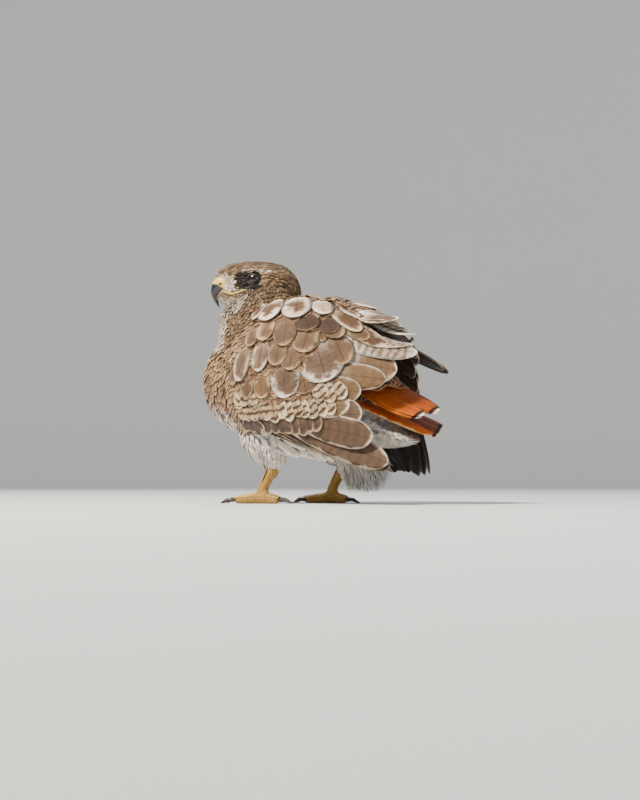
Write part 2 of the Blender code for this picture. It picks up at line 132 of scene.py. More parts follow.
# Camera: it stands behind the bird's left side, low down, and looks slightly up at it through a long
# lens. AIM is the middle of the picture. Lengths are in metres, and the lens is in millimetres.
AIM = Vector((0.0162, -0.0141, 0.1262))
CAMERA_AWAY = 2.40
CAMERA_HEIGHT = 0.03
CAMERA_AZIMUTH = math.radians(220)
LENS = 88.4
SENSOR = 36.0
NEAREST_SEEN = 0.05


def placed(name, data):
    """A new object in the scene, at the origin."""
    made = bpy.data.objects.new(name, data)
    bpy.context.scene.collection.objects.link(made)
    return made


camera_data = bpy.data.cameras.new("camera")
camera_data.lens = LENS
camera_data.sensor_width = SENSOR
camera_data.clip_start = NEAREST_SEEN
camera = placed("camera", camera_data)
away = Vector((math.sin(CAMERA_AZIMUTH), -math.cos(CAMERA_AZIMUTH), 0)) * CAMERA_AWAY
camera.location = (AIM.x + away.x, AIM.y + away.y, CAMERA_HEIGHT)
camera.rotation_euler = (AIM - camera.location).to_track_quat("-Z", "Y").to_euler()
bpy.context.scene.camera = camera

# Studio: a round floor of matt painted card that curves up to a wall all round. The paint has a very
# fine grain of two light greys, so that it doesn't look like a flat colour.
STUDIO_RADIUS = 4.5
STUDIO_HEIGHT = 3.0
COVE_RADIUS = 1.5
FLOOR_RINGS = 6
COVE_RINGS = 6
TURNS = 48


def linear(code):
    """An sRGB hex colour as a linear colour with alpha."""
    parts = [int(code[i:i + 2], 16) / 255 for i in (0, 2, 4)]
    return (*(v / 12.92 if v <= 0.04045 else ((v + 0.055) / 1.055) ** 2.4 for v in parts), 1.0)


class Wire:
    """What comes out of a node. A sum on wires adds Math nodes, so that a rule reads as it is said."""

    def __init__(self, node, name=None):
        self.tree = node.id_data
        self.node = node
        live = [socket for socket in node.outputs if socket.enabled]
        self.socket = node.outputs[name] if name is not None else next(iter(live), None)

    def __getitem__(self, name):
        return Wire(self.node, name)

    def __iter__(self):
        return (Wire(self.node, k) for k in range(len(self.node.outputs)))

    def sum(self, kind, *others):
        return add(self.tree, "ShaderNodeMath", self, *others, operation=kind)

    def __add__(self, other):
        return self.sum("ADD", other)

    def __sub__(self, other):
        return self.sum("SUBTRACT", other)

    def __rsub__(self, other):
        return add(self.tree, "ShaderNodeMath", other, self, operation="SUBTRACT")

    def __mul__(self, other):
        return self.sum("MULTIPLY", other)

    def __truediv__(self, other):
        return self.sum("DIVIDE", other)

    def __abs__(self):
        return self.sum("ABSOLUTE")


def add(tree, kind, *inputs, **settings):
    """Adds a node and gives its first output. Inputs are values or wires, in the node's own order or by
    name, with an underscore for a space. Names in small letters are the node's properties."""
    node = tree.nodes.new(kind)
    for key, value in settings.items():
        if key[0].islower():
            setattr(node, key, value)
    live = [socket for socket in node.inputs if socket.enabled]
    named = {socket.name.replace(" ", "_"): socket for socket in reversed(live)}
    by_name = [(named[key], value) for key, value in settings.items() if key[0].isupper()]
    for socket, value in [*zip(live, inputs), *by_name]:
        if isinstance(value, Wire):
            tree.links.new(socket, value.socket)
        else:
            socket.default_value = value
    return Wire(node)


def painted(under, amount, over):
    """One colour over another: none of it where amount is 0, all of it where amount is 1."""
    return add(amount.tree, "ShaderNodeMix", amount, under, over, data_type="RGBA")


def material(name, **values):
    """A material with one Principled shader, its node tree, and the place on the object."""
    made = bpy.data.materials.new(name)
    made.use_nodes = True
    for key, value in values.items():
        made.node_tree.nodes["Principled BSDF"].inputs[key.replace("_", " ")].default_value = value
    return made, made.node_tree, add(made.node_tree, "ShaderNodeTexCoord")["Object"]


def surface(tree, colour, relief=None, strength=0.0, depth=0.0):
    """Gives a material its colour and a relief of so many metres' depth."""
    shader = tree.nodes["Principled BSDF"]
    tree.links.new(shader.inputs["Base Color"], colour.socket)
    if relief:
        bump = add(tree, "ShaderNodeBump", Strength=strength, Distance=depth, Height=relief)
        tree.links.new(shader.inputs["Normal"], bump.socket)


def grained(name, scale, detail, first, second, strength=0.0, depth=0.0, **values):
    """A material of two shades with a fine grain, scale grains to a metre, raised where it has a depth."""
    made, tree, place = material(name, **values)
    grain = add(tree, "ShaderNodeTexNoise", place, Scale=scale, Detail=detail)
    surface(tree, painted(linear(first), grain, linear(second)), grain if depth else None, strength, depth)
    return made


def mesh_object(name, points, faces):
    """A smooth object at the origin."""
    mesh = bpy.data.meshes.new(name)
    mesh.from_pydata([tuple(p) for p in points], [], faces)
    mesh.polygons.foreach_set("use_smooth", [True] * len(mesh.polygons))
    return placed(name, mesh)


def ring_faces(rows, ring, ends="capped"):
    """Faces between rows of points that each run once round a piece. Its two ends are capped, or left
    open, or joined to each other."""
    faces = []
    for k in range(rows if ends == "joined" else rows - 1):
        for j in range(ring):
            low, high, turned = k * ring, (k + 1) % rows * ring, (j + 1) % ring
            faces.append((low + j, low + turned, high + turned, high + j))
    if ends == "capped":
        faces += [tuple(range(ring))[::-1], tuple((rows - 1) * ring + j for j in range(ring))]
    return faces


profile = [(STUDIO_RADIUS * k / FLOOR_RINGS, 0.0) for k in range(1, FLOOR_RINGS + 1)]
profile += [(STUDIO_RADIUS + COVE_RADIUS * math.sin(a), COVE_RADIUS * (1 - math.cos(a)))
            for a in (math.pi / 2 * k / COVE_RINGS for k in range(1, COVE_RINGS + 1))]
profile.append((STUDIO_RADIUS + COVE_RADIUS, STUDIO_HEIGHT))
studio_points = [(0, 0, 0)] + [
    (r * math.cos(2 * math.pi * j / TURNS), r * math.sin(2 * math.pi * j / TURNS), z)
    for r, z in profile for j in range(TURNS)]
studio_faces = [(0, 1 + j, 1 + (j + 1) % TURNS) for j in range(TURNS)]
studio_faces += [tuple(1 + v for v in face)[::-1] for face in ring_faces(len(profile), TURNS, "open")]
studio = mesh_object("studio", studio_points, studio_faces)
studio.data.materials.append(grained("matt_painted_card", 900.0, 2.0, "D3D5D6", "DCDDDE", Roughness=0.9))
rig.stage(studio)

# Light: one large soft source high on the left of the camera, a weaker one on its right, one behind
# the bird for its outline, and an even sky all round.
LIT_MIDDLE = Vector((0, 0, 0.15))
for name, spot, size, power, colour in (
        ("key", (0.55, 1.9, 2.4), 0.50, 235, "FFF3E2"),
        ("fill", (-2.2, 0.2, 0.9), 1.6, 12, "EDF3FF"),
        ("back", (1.8, -1.5, 2.0), 1.2, 24, "FFFFFF")):
    lamp = bpy.data.lights.new(name, "AREA")
    lamp.shape = "DISK"
    lamp.size = size
    lamp.energy = power
    lamp.color = linear(colour)[:3]
    lit = placed(name, lamp)
    lit.location = spot
    lit.rotation_euler = (LIT_MIDDLE - Vector(spot)).to_track_quat("-Z", "Y").to_euler()
world = bpy.data.worlds.new("sky")
world.use_nodes = True
sky = world.node_tree.nodes["Background"].inputs
sky["Color"].default_value = linear("E6EBF2")
sky["Strength"].default_value = 0.60
bpy.context.scene.world = world

# Skin: the whole flesh of the bird, from the bill's root to the toes, made as one body with no seam.
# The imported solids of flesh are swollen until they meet, remeshed as one and smoothed. That form is
# what the plumage lies on, and the skin is the form drawn in by the depth of the coat.
FLESH = ["trunk", "neck", "head", "undertail", "wing_left", "wing_right", "thigh_left", "thigh_right",
         "tarsus_left", "tarsus_right", "foot_left", "foot_right"]
SKIN_VOXEL = 0.0017
SWELL = 0.0006                    # how far the solids are swollen so that they meet
WING_SKIN_END = -0.045            # behind this the wings are feathers only
HEAD_AT = Vector((0.10665, 0.01426, 0.2711))
HEAD_TURN = Matrix.Rotation(math.radians(34), 3, "Z")
EYE_AT = (-0.0095, 0.0232, 0.0040)               # the left one, in the head's frame
ANKLE = (0.03065, 0.05226, 0.0451)               # the left one
ANKLE_LEAN = -0.59                # how far the shank runs forward as it falls
SHANK = 0.0060                    # its radius
TAIL_RISE = 0.434                 # the slope of the lower deck of the tail
to_head = np.array(HEAD_TURN.transposed())


def in_head(points):
    """Points in the head's own frame: X to the bill, Y to the bird's left."""
    return (np.asarray(points) - np.array(HEAD_AT)) @ to_head.T


def from_head(points):
    """Points of the head's frame in the bird's."""
    return np.asarray(points) @ to_head + np.array(HEAD_AT)


def swollen_copies(nodes, swell, wing_end=None):
    """One mesh of copies of several CAD nodes, each with its corners merged and swollen a little.
    Wings may be cut short at an x, because behind it they are feathers only."""
    whole = bmesh.new()
    for node in nodes:
        one = bmesh.new()
        one.from_mesh(frame["nodes"][node].data)
        bmesh.ops.remove_doubles(one, verts=one.verts, dist=1e-6)
        if wing_end is not None and node.startswith("wing"):
            bmesh.ops.bisect_plane(one, geom=[*one.verts, *one.edges, *one.faces], plane_co=(wing_end, 0, 0),
                                   plane_no=(-1, 0, 0), clear_outer=True)
            bmesh.ops.holes_fill(one, edges=[edge for edge in one.edges if edge.is_boundary])
        one.normal_update()
        for corner in one.verts:
            corner.co += corner.normal * swell
        held = bpy.data.meshes.new("held")
        one.to_mesh(held)
        one.free()
        whole.from_mesh(held)
        bpy.data.meshes.remove(held)
    joined = bpy.data.meshes.new("flesh")
    whole.to_mesh(joined)
    whole.free()
    return joined


def remeshed(mesh, voxel):
    """A mesh remade as one closed skin of even squares."""
    holder = placed("flesh", mesh)
    step = holder.modifiers.new("one_skin", "REMESH")
    step.mode = "VOXEL"
    step.voxel_size = voxel
    graph = bpy.context.evaluated_depsgraph_get()
    made = bpy.data.meshes.new_from_object(holder.evaluated_get(graph))
    bpy.data.objects.remove(holder)
    return made


def read_rows(collection, key, width):
    """One property of many mesh items, as rows of numbers."""
    found = np.zeros(len(collection) * width, int if key == "vertices" else float)
    collection.foreach_get(key, found)
    return found.reshape(-1, width)


def smoothed(points, edges, strength, rounds):
    """Moves each point towards the middle of its neighbours, by its own strength."""
    count = np.bincount(edges.ravel(), minlength=len(points))[:, None]
    for _ in range(rounds):
        total = np.zeros_like(points)
        for k in range(3):
            total[:, k] = (np.bincount(edges[:, 0], points[edges[:, 1], k], len(points))
                           + np.bincount(edges[:, 1], points[edges[:, 0], k], len(points)))
        points = points + (total / np.maximum(count, 1) - points) * strength[:, None]
    return points


def step_up(value, low, high):
    """0 below low, 1 above high and smooth between."""
    t = np.clip((np.asarray(value) - low) / (high - low), 0, 1)
    return t * t * (3 - 2 * t)


def shaped_flesh(wing_end=None):
    """The flesh remeshed as one and smoothed: most on the body, less at the face and on the feet. The
    brows stand out over the eyes, which lie in hollows."""
    mesh = remeshed(swollen_copies(FLESH, SWELL, wing_end), SKIN_VOXEL)
    edges = read_rows(mesh.edges, "vertices", 2)
    points = read_rows(mesh.vertices, "co", 3)
    local = in_head(points)
    near_face = (step_up(local[:, 0], -0.028, -0.010)
                 * step_up(0.075 - np.linalg.norm(local, axis=1), 0, 0.02))
    bare = 1 - step_up(points[:, 2], 0.040, 0.056)
    points = smoothed(points, edges, 0.12 + 0.48 * (1 - bare) * (1 - 0.8 * near_face), 26)
    # Brows and the hollows of the eyes
    local = in_head(points)
    side = step_up(np.abs(local[:, 1]), 0.012, 0.020) * np.sign(local[:, 1])
    brow = np.exp(-((local[:, 0] + 0.004) / 0.017) ** 2 - ((local[:, 2] - 0.0145) / 0.0042) ** 2)
    hollow = 1 - step_up(np.hypot(local[:, 0] - EYE_AT[0], local[:, 2] - EYE_AT[2]), 0.0062, 0.0125)
    out = HEAD_TURN @ Vector((0, 1, 0))
    points = points + np.array(out) * (side * (0.0026 * brow - 0.0026 * hollow))[:, None]
    points = smoothed(points, edges, 0.4 * near_face, 3)
    # The undertail is cut back below the lower deck of the tail and smoothed there.
    x, y, z = points.T
    under_tail = step_up(-x, 0.040, 0.060) * (1 - step_up(np.abs(y), 0.042, 0.056))
    under_tail *= 1 - step_up(z, 0.120, 0.145)
    over = np.maximum(z - (0.109 + TAIL_RISE * (x + 0.062)), 0)
    points = points - np.stack([0 * x, 0 * x, under_tail * over], -1)
    points = smoothed(points, edges, 0.6 * under_tail, 45)
    # The left thigh narrows to its shank.
    axis = np.stack([ANKLE[0] + (points[:, 2] - ANKLE[2]) * ANKLE_LEAN, np.full(len(points), ANKLE[1])], -1)
    off = points[:, :2] - axis
    reach = np.linalg.norm(off, axis=1)
    room = SHANK + 0.75 * np.clip(points[:, 2] - 0.043, 0, None)
    thick = np.maximum(reach - room, 0) * (reach < 0.03) * (1 - step_up(points[:, 2], 0.062, 0.074))
    thick = thick * step_up(points[:, 2], 0.022, 0.030)
    points[:, :2] -= off / np.maximum(reach, 1e-6)[:, None] * (0.75 * thick)[:, None]
    # The face narrows to the bill.
    local = in_head(points)
    narrow = 1 - 0.50 * step_up(local[:, 0], 0.016, 0.034) * (np.abs(local[:, 2] + 0.004) < 0.035)
    points = points + np.array(out) * (local[:, 1] * (narrow - 1))[:, None]
    mesh.vertices.foreach_set("co", points.ravel())
    mesh.update()
    return mesh, points


COAT_ON_BODY = 0.0045
COAT_ON_HEAD = 0.0014
form, points = shaped_flesh()
form_normals = read_rows(form.vertex_normals, "vector", 3)


def coat_depth(at):
    """How deep the plumage is at each place, in metres."""
    on_head = step_up(0.062 - np.linalg.norm(in_head(at) * (0.9, 1, 1), axis=1), 0, 0.02)
    on_leg = 1 - step_up(at[:, 2], 0.046, 0.062)
    behind = 1 - step_up(at[:, 0], -0.060, -0.020)
    depth = COAT_ON_BODY * (1 - on_head) + COAT_ON_HEAD * on_head
    return depth * (1 - 0.8 * behind) * (1 - on_leg)


skin_mesh, skin_points = shaped_flesh(WING_SKIN_END)
inward = -read_rows(skin_mesh.vertex_normals, "vector", 3)
skin_points = skin_points + inward * coat_depth(skin_points)[:, None]
skin_mesh.vertices.foreach_set("co", skin_points.ravel())
skin_mesh.update()
skin_mesh.polygons.foreach_set("use_smooth", [True] * len(skin_mesh.polygons))
skin = placed("skin", skin_mesh)
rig.ride(skin, "root")
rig.replaces(skin, *FLESH)

# Unwrap for baking: a coarse copy of the form, cut into patches and laid flat. Each feather takes a
# small spot of the bake's map at its root's place on it.
ATLAS_VOXEL = 0.006
PATCH_MARGIN = 0.004
PATCH = 0.003                     # the size of a feather's spot, as a share of the map
atlas = remeshed(swollen_copies(FLESH, SWELL), ATLAS_VOXEL)
atlas_holder = placed("atlas", atlas)
bpy.context.view_layer.objects.active = atlas_holder
atlas_holder.select_set(True)
bpy.ops.object.mode_set(mode="EDIT")
bpy.ops.mesh.select_all(action="SELECT")
bpy.ops.mesh.quads_convert_to_tris()
bpy.ops.uv.smart_project(angle_limit=math.radians(66), island_margin=PATCH_MARGIN)
bpy.ops.object.mode_set(mode="OBJECT")
atlas_faces = np.array([tuple(face.vertices) for face in atlas.polygons])
atlas_flat = read_rows(atlas.uv_layers.active.data, "uv", 2).reshape(-1, 3, 2)
atlas_points = read_rows(atlas.vertices, "co", 3)
atlas_tree = BVHTree.FromPolygons(atlas_points.tolist(), atlas_faces.tolist())
bpy.data.objects.remove(atlas_holder)


def flat_places(at):
    """Where points fall on the unwrap."""
    found = np.empty((len(at), 2))
    for i, point in enumerate(at):
        hit, _, face, _ = atlas_tree.find_nearest(point)
        a, b, c = atlas_points[atlas_faces[face]]
        weights = np.linalg.lstsq(np.array([b - a, c - a]).T, np.array(hit) - a, rcond=None)[0]
        weights = np.clip([1 - weights.sum(), *weights], 0, 1)
        found[i] = weights @ atlas_flat[face] / weights.sum()
    return found


# Vanes: every feather is a thin closed blade with a shaft line, soft barbs and its own markings. It
# starts under its neighbours and rises to its tip, so that the feathers lie on each other like tiles.
# An outline is pairs of a share of the length and the width there.
form_tree = BVHTree.FromPolygons(points.tolist(), [tuple(face.vertices) for face in form.polygons])
OVAL = ((0, 0.45), (0.35, 0.90), (0.68, 1.0), (0.90, 0.62), (1, 0.10))
POINTED = ((0, 0.55), (0.35, 1.0), (0.70, 0.72), (1, 0.06))
HUG_REACH = 0.006                 # a feather is laid on the form where it is nearer than this
luck = np.random.default_rng(20)


def laid_lines(roots, ways, lengths, shares, stiff=0.0):
    """Centre lines that start at the roots and follow the form. stiff holds a line back from bending
    after the form, from 0 to 1. Past the form's edge a line runs on straight."""
    lines = np.empty((len(roots), len(shares), 3))
    ups = np.empty_like(lines)
    for i in range(len(roots)):
        at, up, _, _ = form_tree.find_nearest(roots[i])
        way = Vector(ways[i])
        way = (way - up * way.dot(up)).normalized()
        for k, share in enumerate(shares):
            lines[i, k], ups[i, k] = at, up
            if k == len(shares) - 1:
                break
            guess = at + way * (lengths[i] * (shares[k + 1] - share))
            hit, normal, _, gap = form_tree.find_nearest(guess)
            if gap > 0.35 * lengths[i] * (shares[k + 1] - share) + 0.002:
                at = guess
                continue
            at = hit.lerp(guess, stiff)
            up = normal.lerp(up, stiff).normalized()
            way = (way - up * way.dot(up)).normalized()
    return lines, ups


def rim_distance(shape, columns, aspect):
    """How far each point of a flat vane is from its outline, in half widths."""
    ends = np.array([(s * aspect, w) for s, w in shape])
    outline = np.concatenate([ends, [(ends[-1, 0], 0)]])
    found = np.empty((len(shape), len(columns)))
    for k, (s, w) in enumerate(shape):
        for j, c in enumerate(columns):
            here = np.array((s * aspect, abs(c) * w))
            starts, steps = outline[:-1], np.diff(outline, axis=0)
            t = np.clip(((here - starts) * steps).sum(1) / (steps ** 2).sum(1), 0, 1)
            found[k, j] = np.linalg.norm(starts + steps * t[:, None] - here, axis=1).min()
    return found


def marked(mesh, title, kind, values):
    """Keeps a number, a vector or a colour for each point of a mesh."""
    key = {"FLOAT": "value", "FLOAT_VECTOR": "vector", "FLOAT_COLOR": "color"}[kind]
    mesh.attributes.new(title, kind, "POINT").data.foreach_set(key, np.asarray(values, float).ravel())


def vanes(name, lines, ups, lengths, half_widths, looks, shape, columns=(-1, -0.5, 0, 0.5, 1),
          sink=0.0020, lift=0.0010, base=0.0, camber=0.16, thickness=0.0004, ragged=0.06, hug=False):
    """Joins feathers into one piece. Lengths are in metres, and mark sizes in millimetres. looks is one
    row of markings for each feather: the colours of the ground, rim and dark marks, then rim width,
    shaft streak, bar spacing and bar strength, and how pale the root is. A root lies by sink under its
    line, and a tip by lift over it. base lifts whole feathers, camber is how far the edges droop,
    ragged how uneven they are, and hug lays them on the form."""
    count, rows, cols = len(lines), len(shape), len(columns)
    share, wide = np.array(shape).T
    along = np.gradient(lines, axis=1)
    along /= np.maximum(np.linalg.norm(along, axis=2, keepdims=True), 1e-9)
    side = np.cross(along, ups)
    side /= np.maximum(np.linalg.norm(side, axis=2, keepdims=True), 1e-9)
    across = np.array(columns)
    width = half_widths[:, None, None] * wide[None, :, None]
    spread = width * across
    rough = 1 + ragged * luck.normal(size=spread.shape) * (np.abs(across) > 0.9)
    rough[:, 0] = 1
    top = lines[:, :, None] + side[:, :, None] * (spread * rough)[..., None]
    height = (np.asarray(base).reshape(-1, 1) - sink * (1 - share) ** 2 + lift * share ** 1.3)[:, :, None]
    height = height - camber * width * across ** 2
    lean = np.repeat(ups[:, :, None], cols, axis=2)
    if hug:
        for i, k, j in np.ndindex(count, rows, cols):
            hit, normal, _, gap = form_tree.find_nearest(top[i, k, j])
            if gap < HUG_REACH and normal.dot(ups[i, k]) > 0.3:
                top[i, k, j] = hit
                lean[i, k, j] = normal
    top = top + lean * height[..., None]
    under = top[:, :, cols // 2] - ups * thickness
    points = np.concatenate([top, under[:, :, None]], axis=2).reshape(-1, 3)
    n = cols + 1
    each = rows * n
    start = np.arange(count)[:, None, None] * each
    k, j = np.meshgrid(np.arange(rows - 1), np.arange(n), indexing="ij")
    quads = np.stack([k * n + j, k * n + (j + 1) % n, (k + 1) * n + (j + 1) % n, (k + 1) * n + j], -1)
    quads = (start + quads.reshape(1, -1, 4)).reshape(-1, 4)
    caps = (start + np.stack([np.arange(n)[::-1], (rows - 1) * n + np.arange(n)])[None]).reshape(-1, n)
    corners = np.concatenate([quads.ravel(), caps.ravel()])
    sizes = np.concatenate([np.full(len(quads), 4), np.full(len(caps), n)])
    mesh = bpy.data.meshes.new(name)
    mesh.vertices.add(len(points))
    mesh.vertices.foreach_set("co", points.ravel())
    mesh.loops.add(len(corners))
    mesh.loops.foreach_set("vertex_index", corners)
    mesh.polygons.add(len(sizes))
    mesh.polygons.foreach_set("loop_start", np.concatenate([[0], np.cumsum(sizes)[:-1]]))
    mesh.polygons.foreach_set("use_smooth", np.ones(len(sizes), bool))
    mesh.update(calc_edges=True)
    mesh.validate()

    flat = np.array([*columns, 0.0])
    flat_x = flat * width
    flat_y = share[None, :, None] * lengths[:, None, None] + 0 * flat_x
    aspect = float(np.mean(lengths) / np.mean(half_widths))
    rim = rim_distance(shape, flat, aspect)[None] * half_widths[:, None, None]
    marked(mesh, "vane", "FLOAT_VECTOR", np.stack([flat_x, flat_y, rim], -1) * 1000)
    for title, first in (("ground", 0), ("rim", 3), ("dark", 6)):
        colour = np.concatenate([looks[:, first:first + 3], np.ones((count, 1))], 1)
        marked(mesh, title, "FLOAT_COLOR", np.repeat(colour, each, axis=0))
    marked(mesh, "marks", "FLOAT_VECTOR", np.repeat(looks[:, 9:12], each, axis=0))
    more = np.stack([looks[:, 12], looks[:, 13], lengths * 1000], 1)
    marked(mesh, "more", "FLOAT_VECTOR", np.repeat(more, each, axis=0))

    middle = flat_places(lines[:, 0])
    patch = np.stack([flat * 0.5 + 0 * share[:, None], share[:, None] - 0.5 + 0 * flat], -1) * PATCH
    at = (middle[:, None, None] + patch[None]).reshape(-1, 2)
    mesh.uv_layers.new(name="OFBake").data.foreach_set("uv", np.clip(at, 0, 1)[corners].ravel())
    return placed(name, mesh)


def fade(value, low, high):
    """1 where value is below low, 0 above high, smooth between."""
    return add(value.tree, "ShaderNodeMapRange", value, low, high, 1.0, 0.0, interpolation_type="SMOOTHSTEP")


def keratin_vane(name, roughness, sheen, barb_depth, depth, band=None):
    """Feather: matt keratin, soft where the barbs part. The markings come from each feather's own
    numbers, in millimetres. Barbs lie about 0.3 mm apart; they are drawn up to 1.2 mm apart so that
    they show. depth is how much darker the vane is inside its rim. band gives a dark band and a white
    tip: how far they lie from the feather's end."""
    made, tree, place = material(name, Roughness=roughness, Sheen_Weight=sheen, Sheen_Roughness=0.5,
                                 Specular_IOR_Level=0.25)
    ground, edge, dark = (add(tree, "ShaderNodeAttribute", attribute_name=title)["Color"]
                          for title in ("ground", "rim", "dark"))
    (x, y, rim), (rim_width, streak, spacing), (strength, pale, length) = (
        add(tree, "ShaderNodeSeparateXYZ", add(tree, "ShaderNodeAttribute", attribute_name=title)["Vector"])
        for title in ("vane", "marks", "more"))
    away = abs(x)
    # Barbs slant from the shaft to the tip. Each feather reads its own part of the noise.
    barb_gap = (length * 0.045).sum("MINIMUM", 1.2)
    run = add(tree, "ShaderNodeCombineXYZ", (y - away * 0.9) / barb_gap, x * 0.12, length * 3.7)
    barbs = add(tree, "ShaderNodeTexNoise", run, Scale=1.0, Detail=2.0)
    cloud = add(tree, "ShaderNodeTexNoise", place, Scale=160.0, Detail=3.0)
    uneven = add(tree, "ShaderNodeTexNoise", place, Scale=75.0, Detail=1.0)
    # The pale rim is of uneven width, and frays along the barbs.
    rim_width = rim_width * add(tree, "ShaderNodeMapRange", uneven, 0.35, 0.65, 0.45, 2.1)
    frayed = rim + (barbs - 0.5) * (rim_width * 2.4)
    at_rim = fade(frayed, rim_width * 0.2, rim_width * 1.8)
    at_shaft = fade(away, streak * 0.5, streak)
    # Bars cross the vane and wander a little.
    slow = add(tree, "ShaderNodeCombineXYZ", x * 0.16, y * 0.10, length * 5.3)
    drift = add(tree, "ShaderNodeTexNoise", slow, Scale=1.0, Detail=2.0)
    turn = (y + away * 0.18) / spacing + drift * 0.9
    wave = (turn * (2 * math.pi)).sum("SINE") + (cloud - 0.5) * 2.4
    bars = (1.0 - fade(wave, -0.5, 0.9)) * strength
    inner = (1.0 - fade(frayed, rim_width * 1.2, rim_width * 4.5)) * ((drift + 0.1) * depth)
    at_root = fade(y / length, 0.12, 0.50) * pale
    colour = ground
    for amount, paint in ((inner, dark), (at_root, edge), (bars, dark), (at_shaft, dark), (at_rim, edge)):
        colour = painted(colour, amount, paint)
    if band:
        white_end, dark_start, dark_end = band
        from_tip = length - y + (barbs - 0.5) * 1.5
        past_start = 1.0 - fade(from_tip, dark_start - 0.5, dark_start + 0.5)
        colour = painted(colour, fade(from_tip, dark_end - 0.5, dark_end + 0.5) * past_start, dark)
        colour = painted(colour, fade(from_tip, white_end - 0.7, white_end + 0.7), linear("EFE6D8"))
    tone = add(tree, "ShaderNodeMapRange", barbs * 0.65 + cloud * 0.35, 0.3, 0.7,
               1 - 0.4 * barb_depth, 1 + 0.35 * barb_depth)
    grey = add(tree, "ShaderNodeCombineColor", tone, tone, tone)
    colour = add(tree, "ShaderNodeMix", 1.0, colour, grey, data_type="RGBA", blend_type="MULTIPLY")
    richer = add(tree, "ShaderNodeHueSaturation", Saturation=1.18, Value=0.94, Color=colour)
    surface(tree, richer, barbs + fade(away, 0.15, 0.5) * 0.8, barb_depth, 0.0004)
    return made


contour_keratin = keratin_vane("contour_feather_keratin", 0.72, 0.10, 0.75, 0.65)
quill_keratin = keratin_vane("quill_feather_keratin", 0.55, 0.04, 0.35, 0.45)


def finished(piece, made_of, finish, *nodes):
    """Gives a piece its material, ties it to the body, and says what it is and which nodes it replaces."""
    piece.data.materials.append(made_of)
    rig.ride(piece, "root")
    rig.slot(piece, finish)
    if nodes:
        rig.replaces(piece, *nodes)


# Body plumage: small feathers over the whole bird, from 4 mm at the face to 34 mm under the tail.
# They grow evenly spaced, point down and back along the body, and lie over each other.
# Each guide is a place on the left half in millimetres, the way feathers point there, and their length.
GUIDES = (
    ((130, 12, 205), (-0.10, 0, -1.0), 14), ((150, 0, 180), (-0.10, 0, -1), 16),
    ((168, 0, 150), (-0.20, 0, -1), 19), ((155, 25, 110), (-0.5, 0, -1), 22),
    ((120, 60, 160), (-0.25, 0, -1), 17), ((100, 60, 100), (-0.7, 0, -0.7), 20),
    ((100, 20, 85), (-1, 0, -0.35), 24), ((40, 20, 68), (-1, 0, -0.05), 22),
    ((-30, 15, 66), (-1, 0, 0.10), 19), ((-80, 10, 76), (-1, 0, -0.05), 17),
    ((-120, 8, 76), (-1, 0, -0.20), 14), ((115, 15, 232), (-0.05, 0, -1), 9),
    ((95, 55, 222), (-0.25, 0.1, -1), 10), ((60, 40, 245), (-0.6, 0.2, -1), 11),
    ((45, 5, 258), (-1, 0, -0.7), 12), ((25, 0, 247), (-1, 0, -0.25), 18),
    ((-30, 0, 236), (-1, 0, -0.4), 24), ((-85, 0, 205), (-1, 0, -0.45), 28),
    ((85, 78, 190), (-0.25, 0, -1), 14), ((60, 92, 150), (-0.2, 0, -1), 15),
    ((10, 96, 150), (-0.35, 0, -1), 19), ((-30, 90, 180), (-0.5, 0, -1), 22),
    ((-80, 70, 150), (-0.9, 0, -0.5), 26), ((60, 90, 100), (-0.6, 0, -0.8), 13),
    ((0, 92, 90), (-0.95, 0, -0.3), 13), ((45, 52, 95), (-0.15, 0, -1), 19),
    ((25, 54, 62), (-0.15, 0, -1), 13), ((0, 54, 100), (-0.2, 0, -1), 19),
    ((-15, 50, 40), (-0.45, 0, -1), 19),
)
guide_at = np.array([(x, y * s, z) for s in (1, -1) for (x, y, z), _, _ in GUIDES]) / 1000
guide_way = np.array([(x, y * s, z) for s in (1, -1) for _, (x, y, z), _ in GUIDES])
guide_way /= np.linalg.norm(guide_way, axis=1, keepdims=True)
guide_length = np.array([length for _ in (1, -1) for _, _, length in GUIDES]) / 1000
BILL_ROOT = np.array((0.046, 0, -0.010))


def head_weight(at):
    """1 on the head, fading to 0 down the neck."""
    return 1 - step_up(np.linalg.norm(in_head(at) * (0.9, 1, 1), axis=1), 0.040, 0.058)


def plumage_lie(at):
    """The way feathers point and their length, at each place."""
    gap = np.linalg.norm(at[:, None] - guide_at[None], axis=2)
    weight = 1 / (gap ** 4 + 1e-9)
    weight /= weight.sum(1, keepdims=True)
    way, length = weight @ guide_way, weight @ guide_length
    low_leg = 1 - step_up(at[:, 2], 0.050, 0.075)
    length = length * (1 + low_leg * np.where(at[:, 1] < 0, -0.05, -0.55))
    on_head = head_weight(at)
    local = in_head(at)
    away = local - BILL_ROOT
    reach = np.linalg.norm(away, axis=1)
    head_way = from_head(away / reach[:, None]) - np.array(HEAD_AT)
    way = way * (1 - on_head[:, None]) + head_way * on_head[:, None]
    way /= np.linalg.norm(way, axis=1, keepdims=True)
    head_length = 0.0040 + 0.0055 * step_up(reach, 0.01, 0.085)
    return way, length * (1 - on_head) + head_length * on_head


form_quads = np.array([tuple(face.vertices) for face in form.polygons])
corner_a, corner_b, corner_c, corner_d = (points[form_quads[:, k]] for k in range(4))
quad_area = np.linalg.norm(np.cross(corner_c - corner_a, corner_d - corner_b), axis=1) / 2


def scattered(count):
    """Even random places on the form, and the way out of it there."""
    pick = luck.choice(len(form_quads), count, p=quad_area / quad_area.sum())
    u, v = luck.random((2, count, 1))
    at = ((corner_a[pick] * (1 - u) + corner_b[pick] * u) * (1 - v)
          + (corner_d[pick] * (1 - u) + corner_c[pick] * u) * v)
    return at, form_normals[form_quads[pick, 0]]


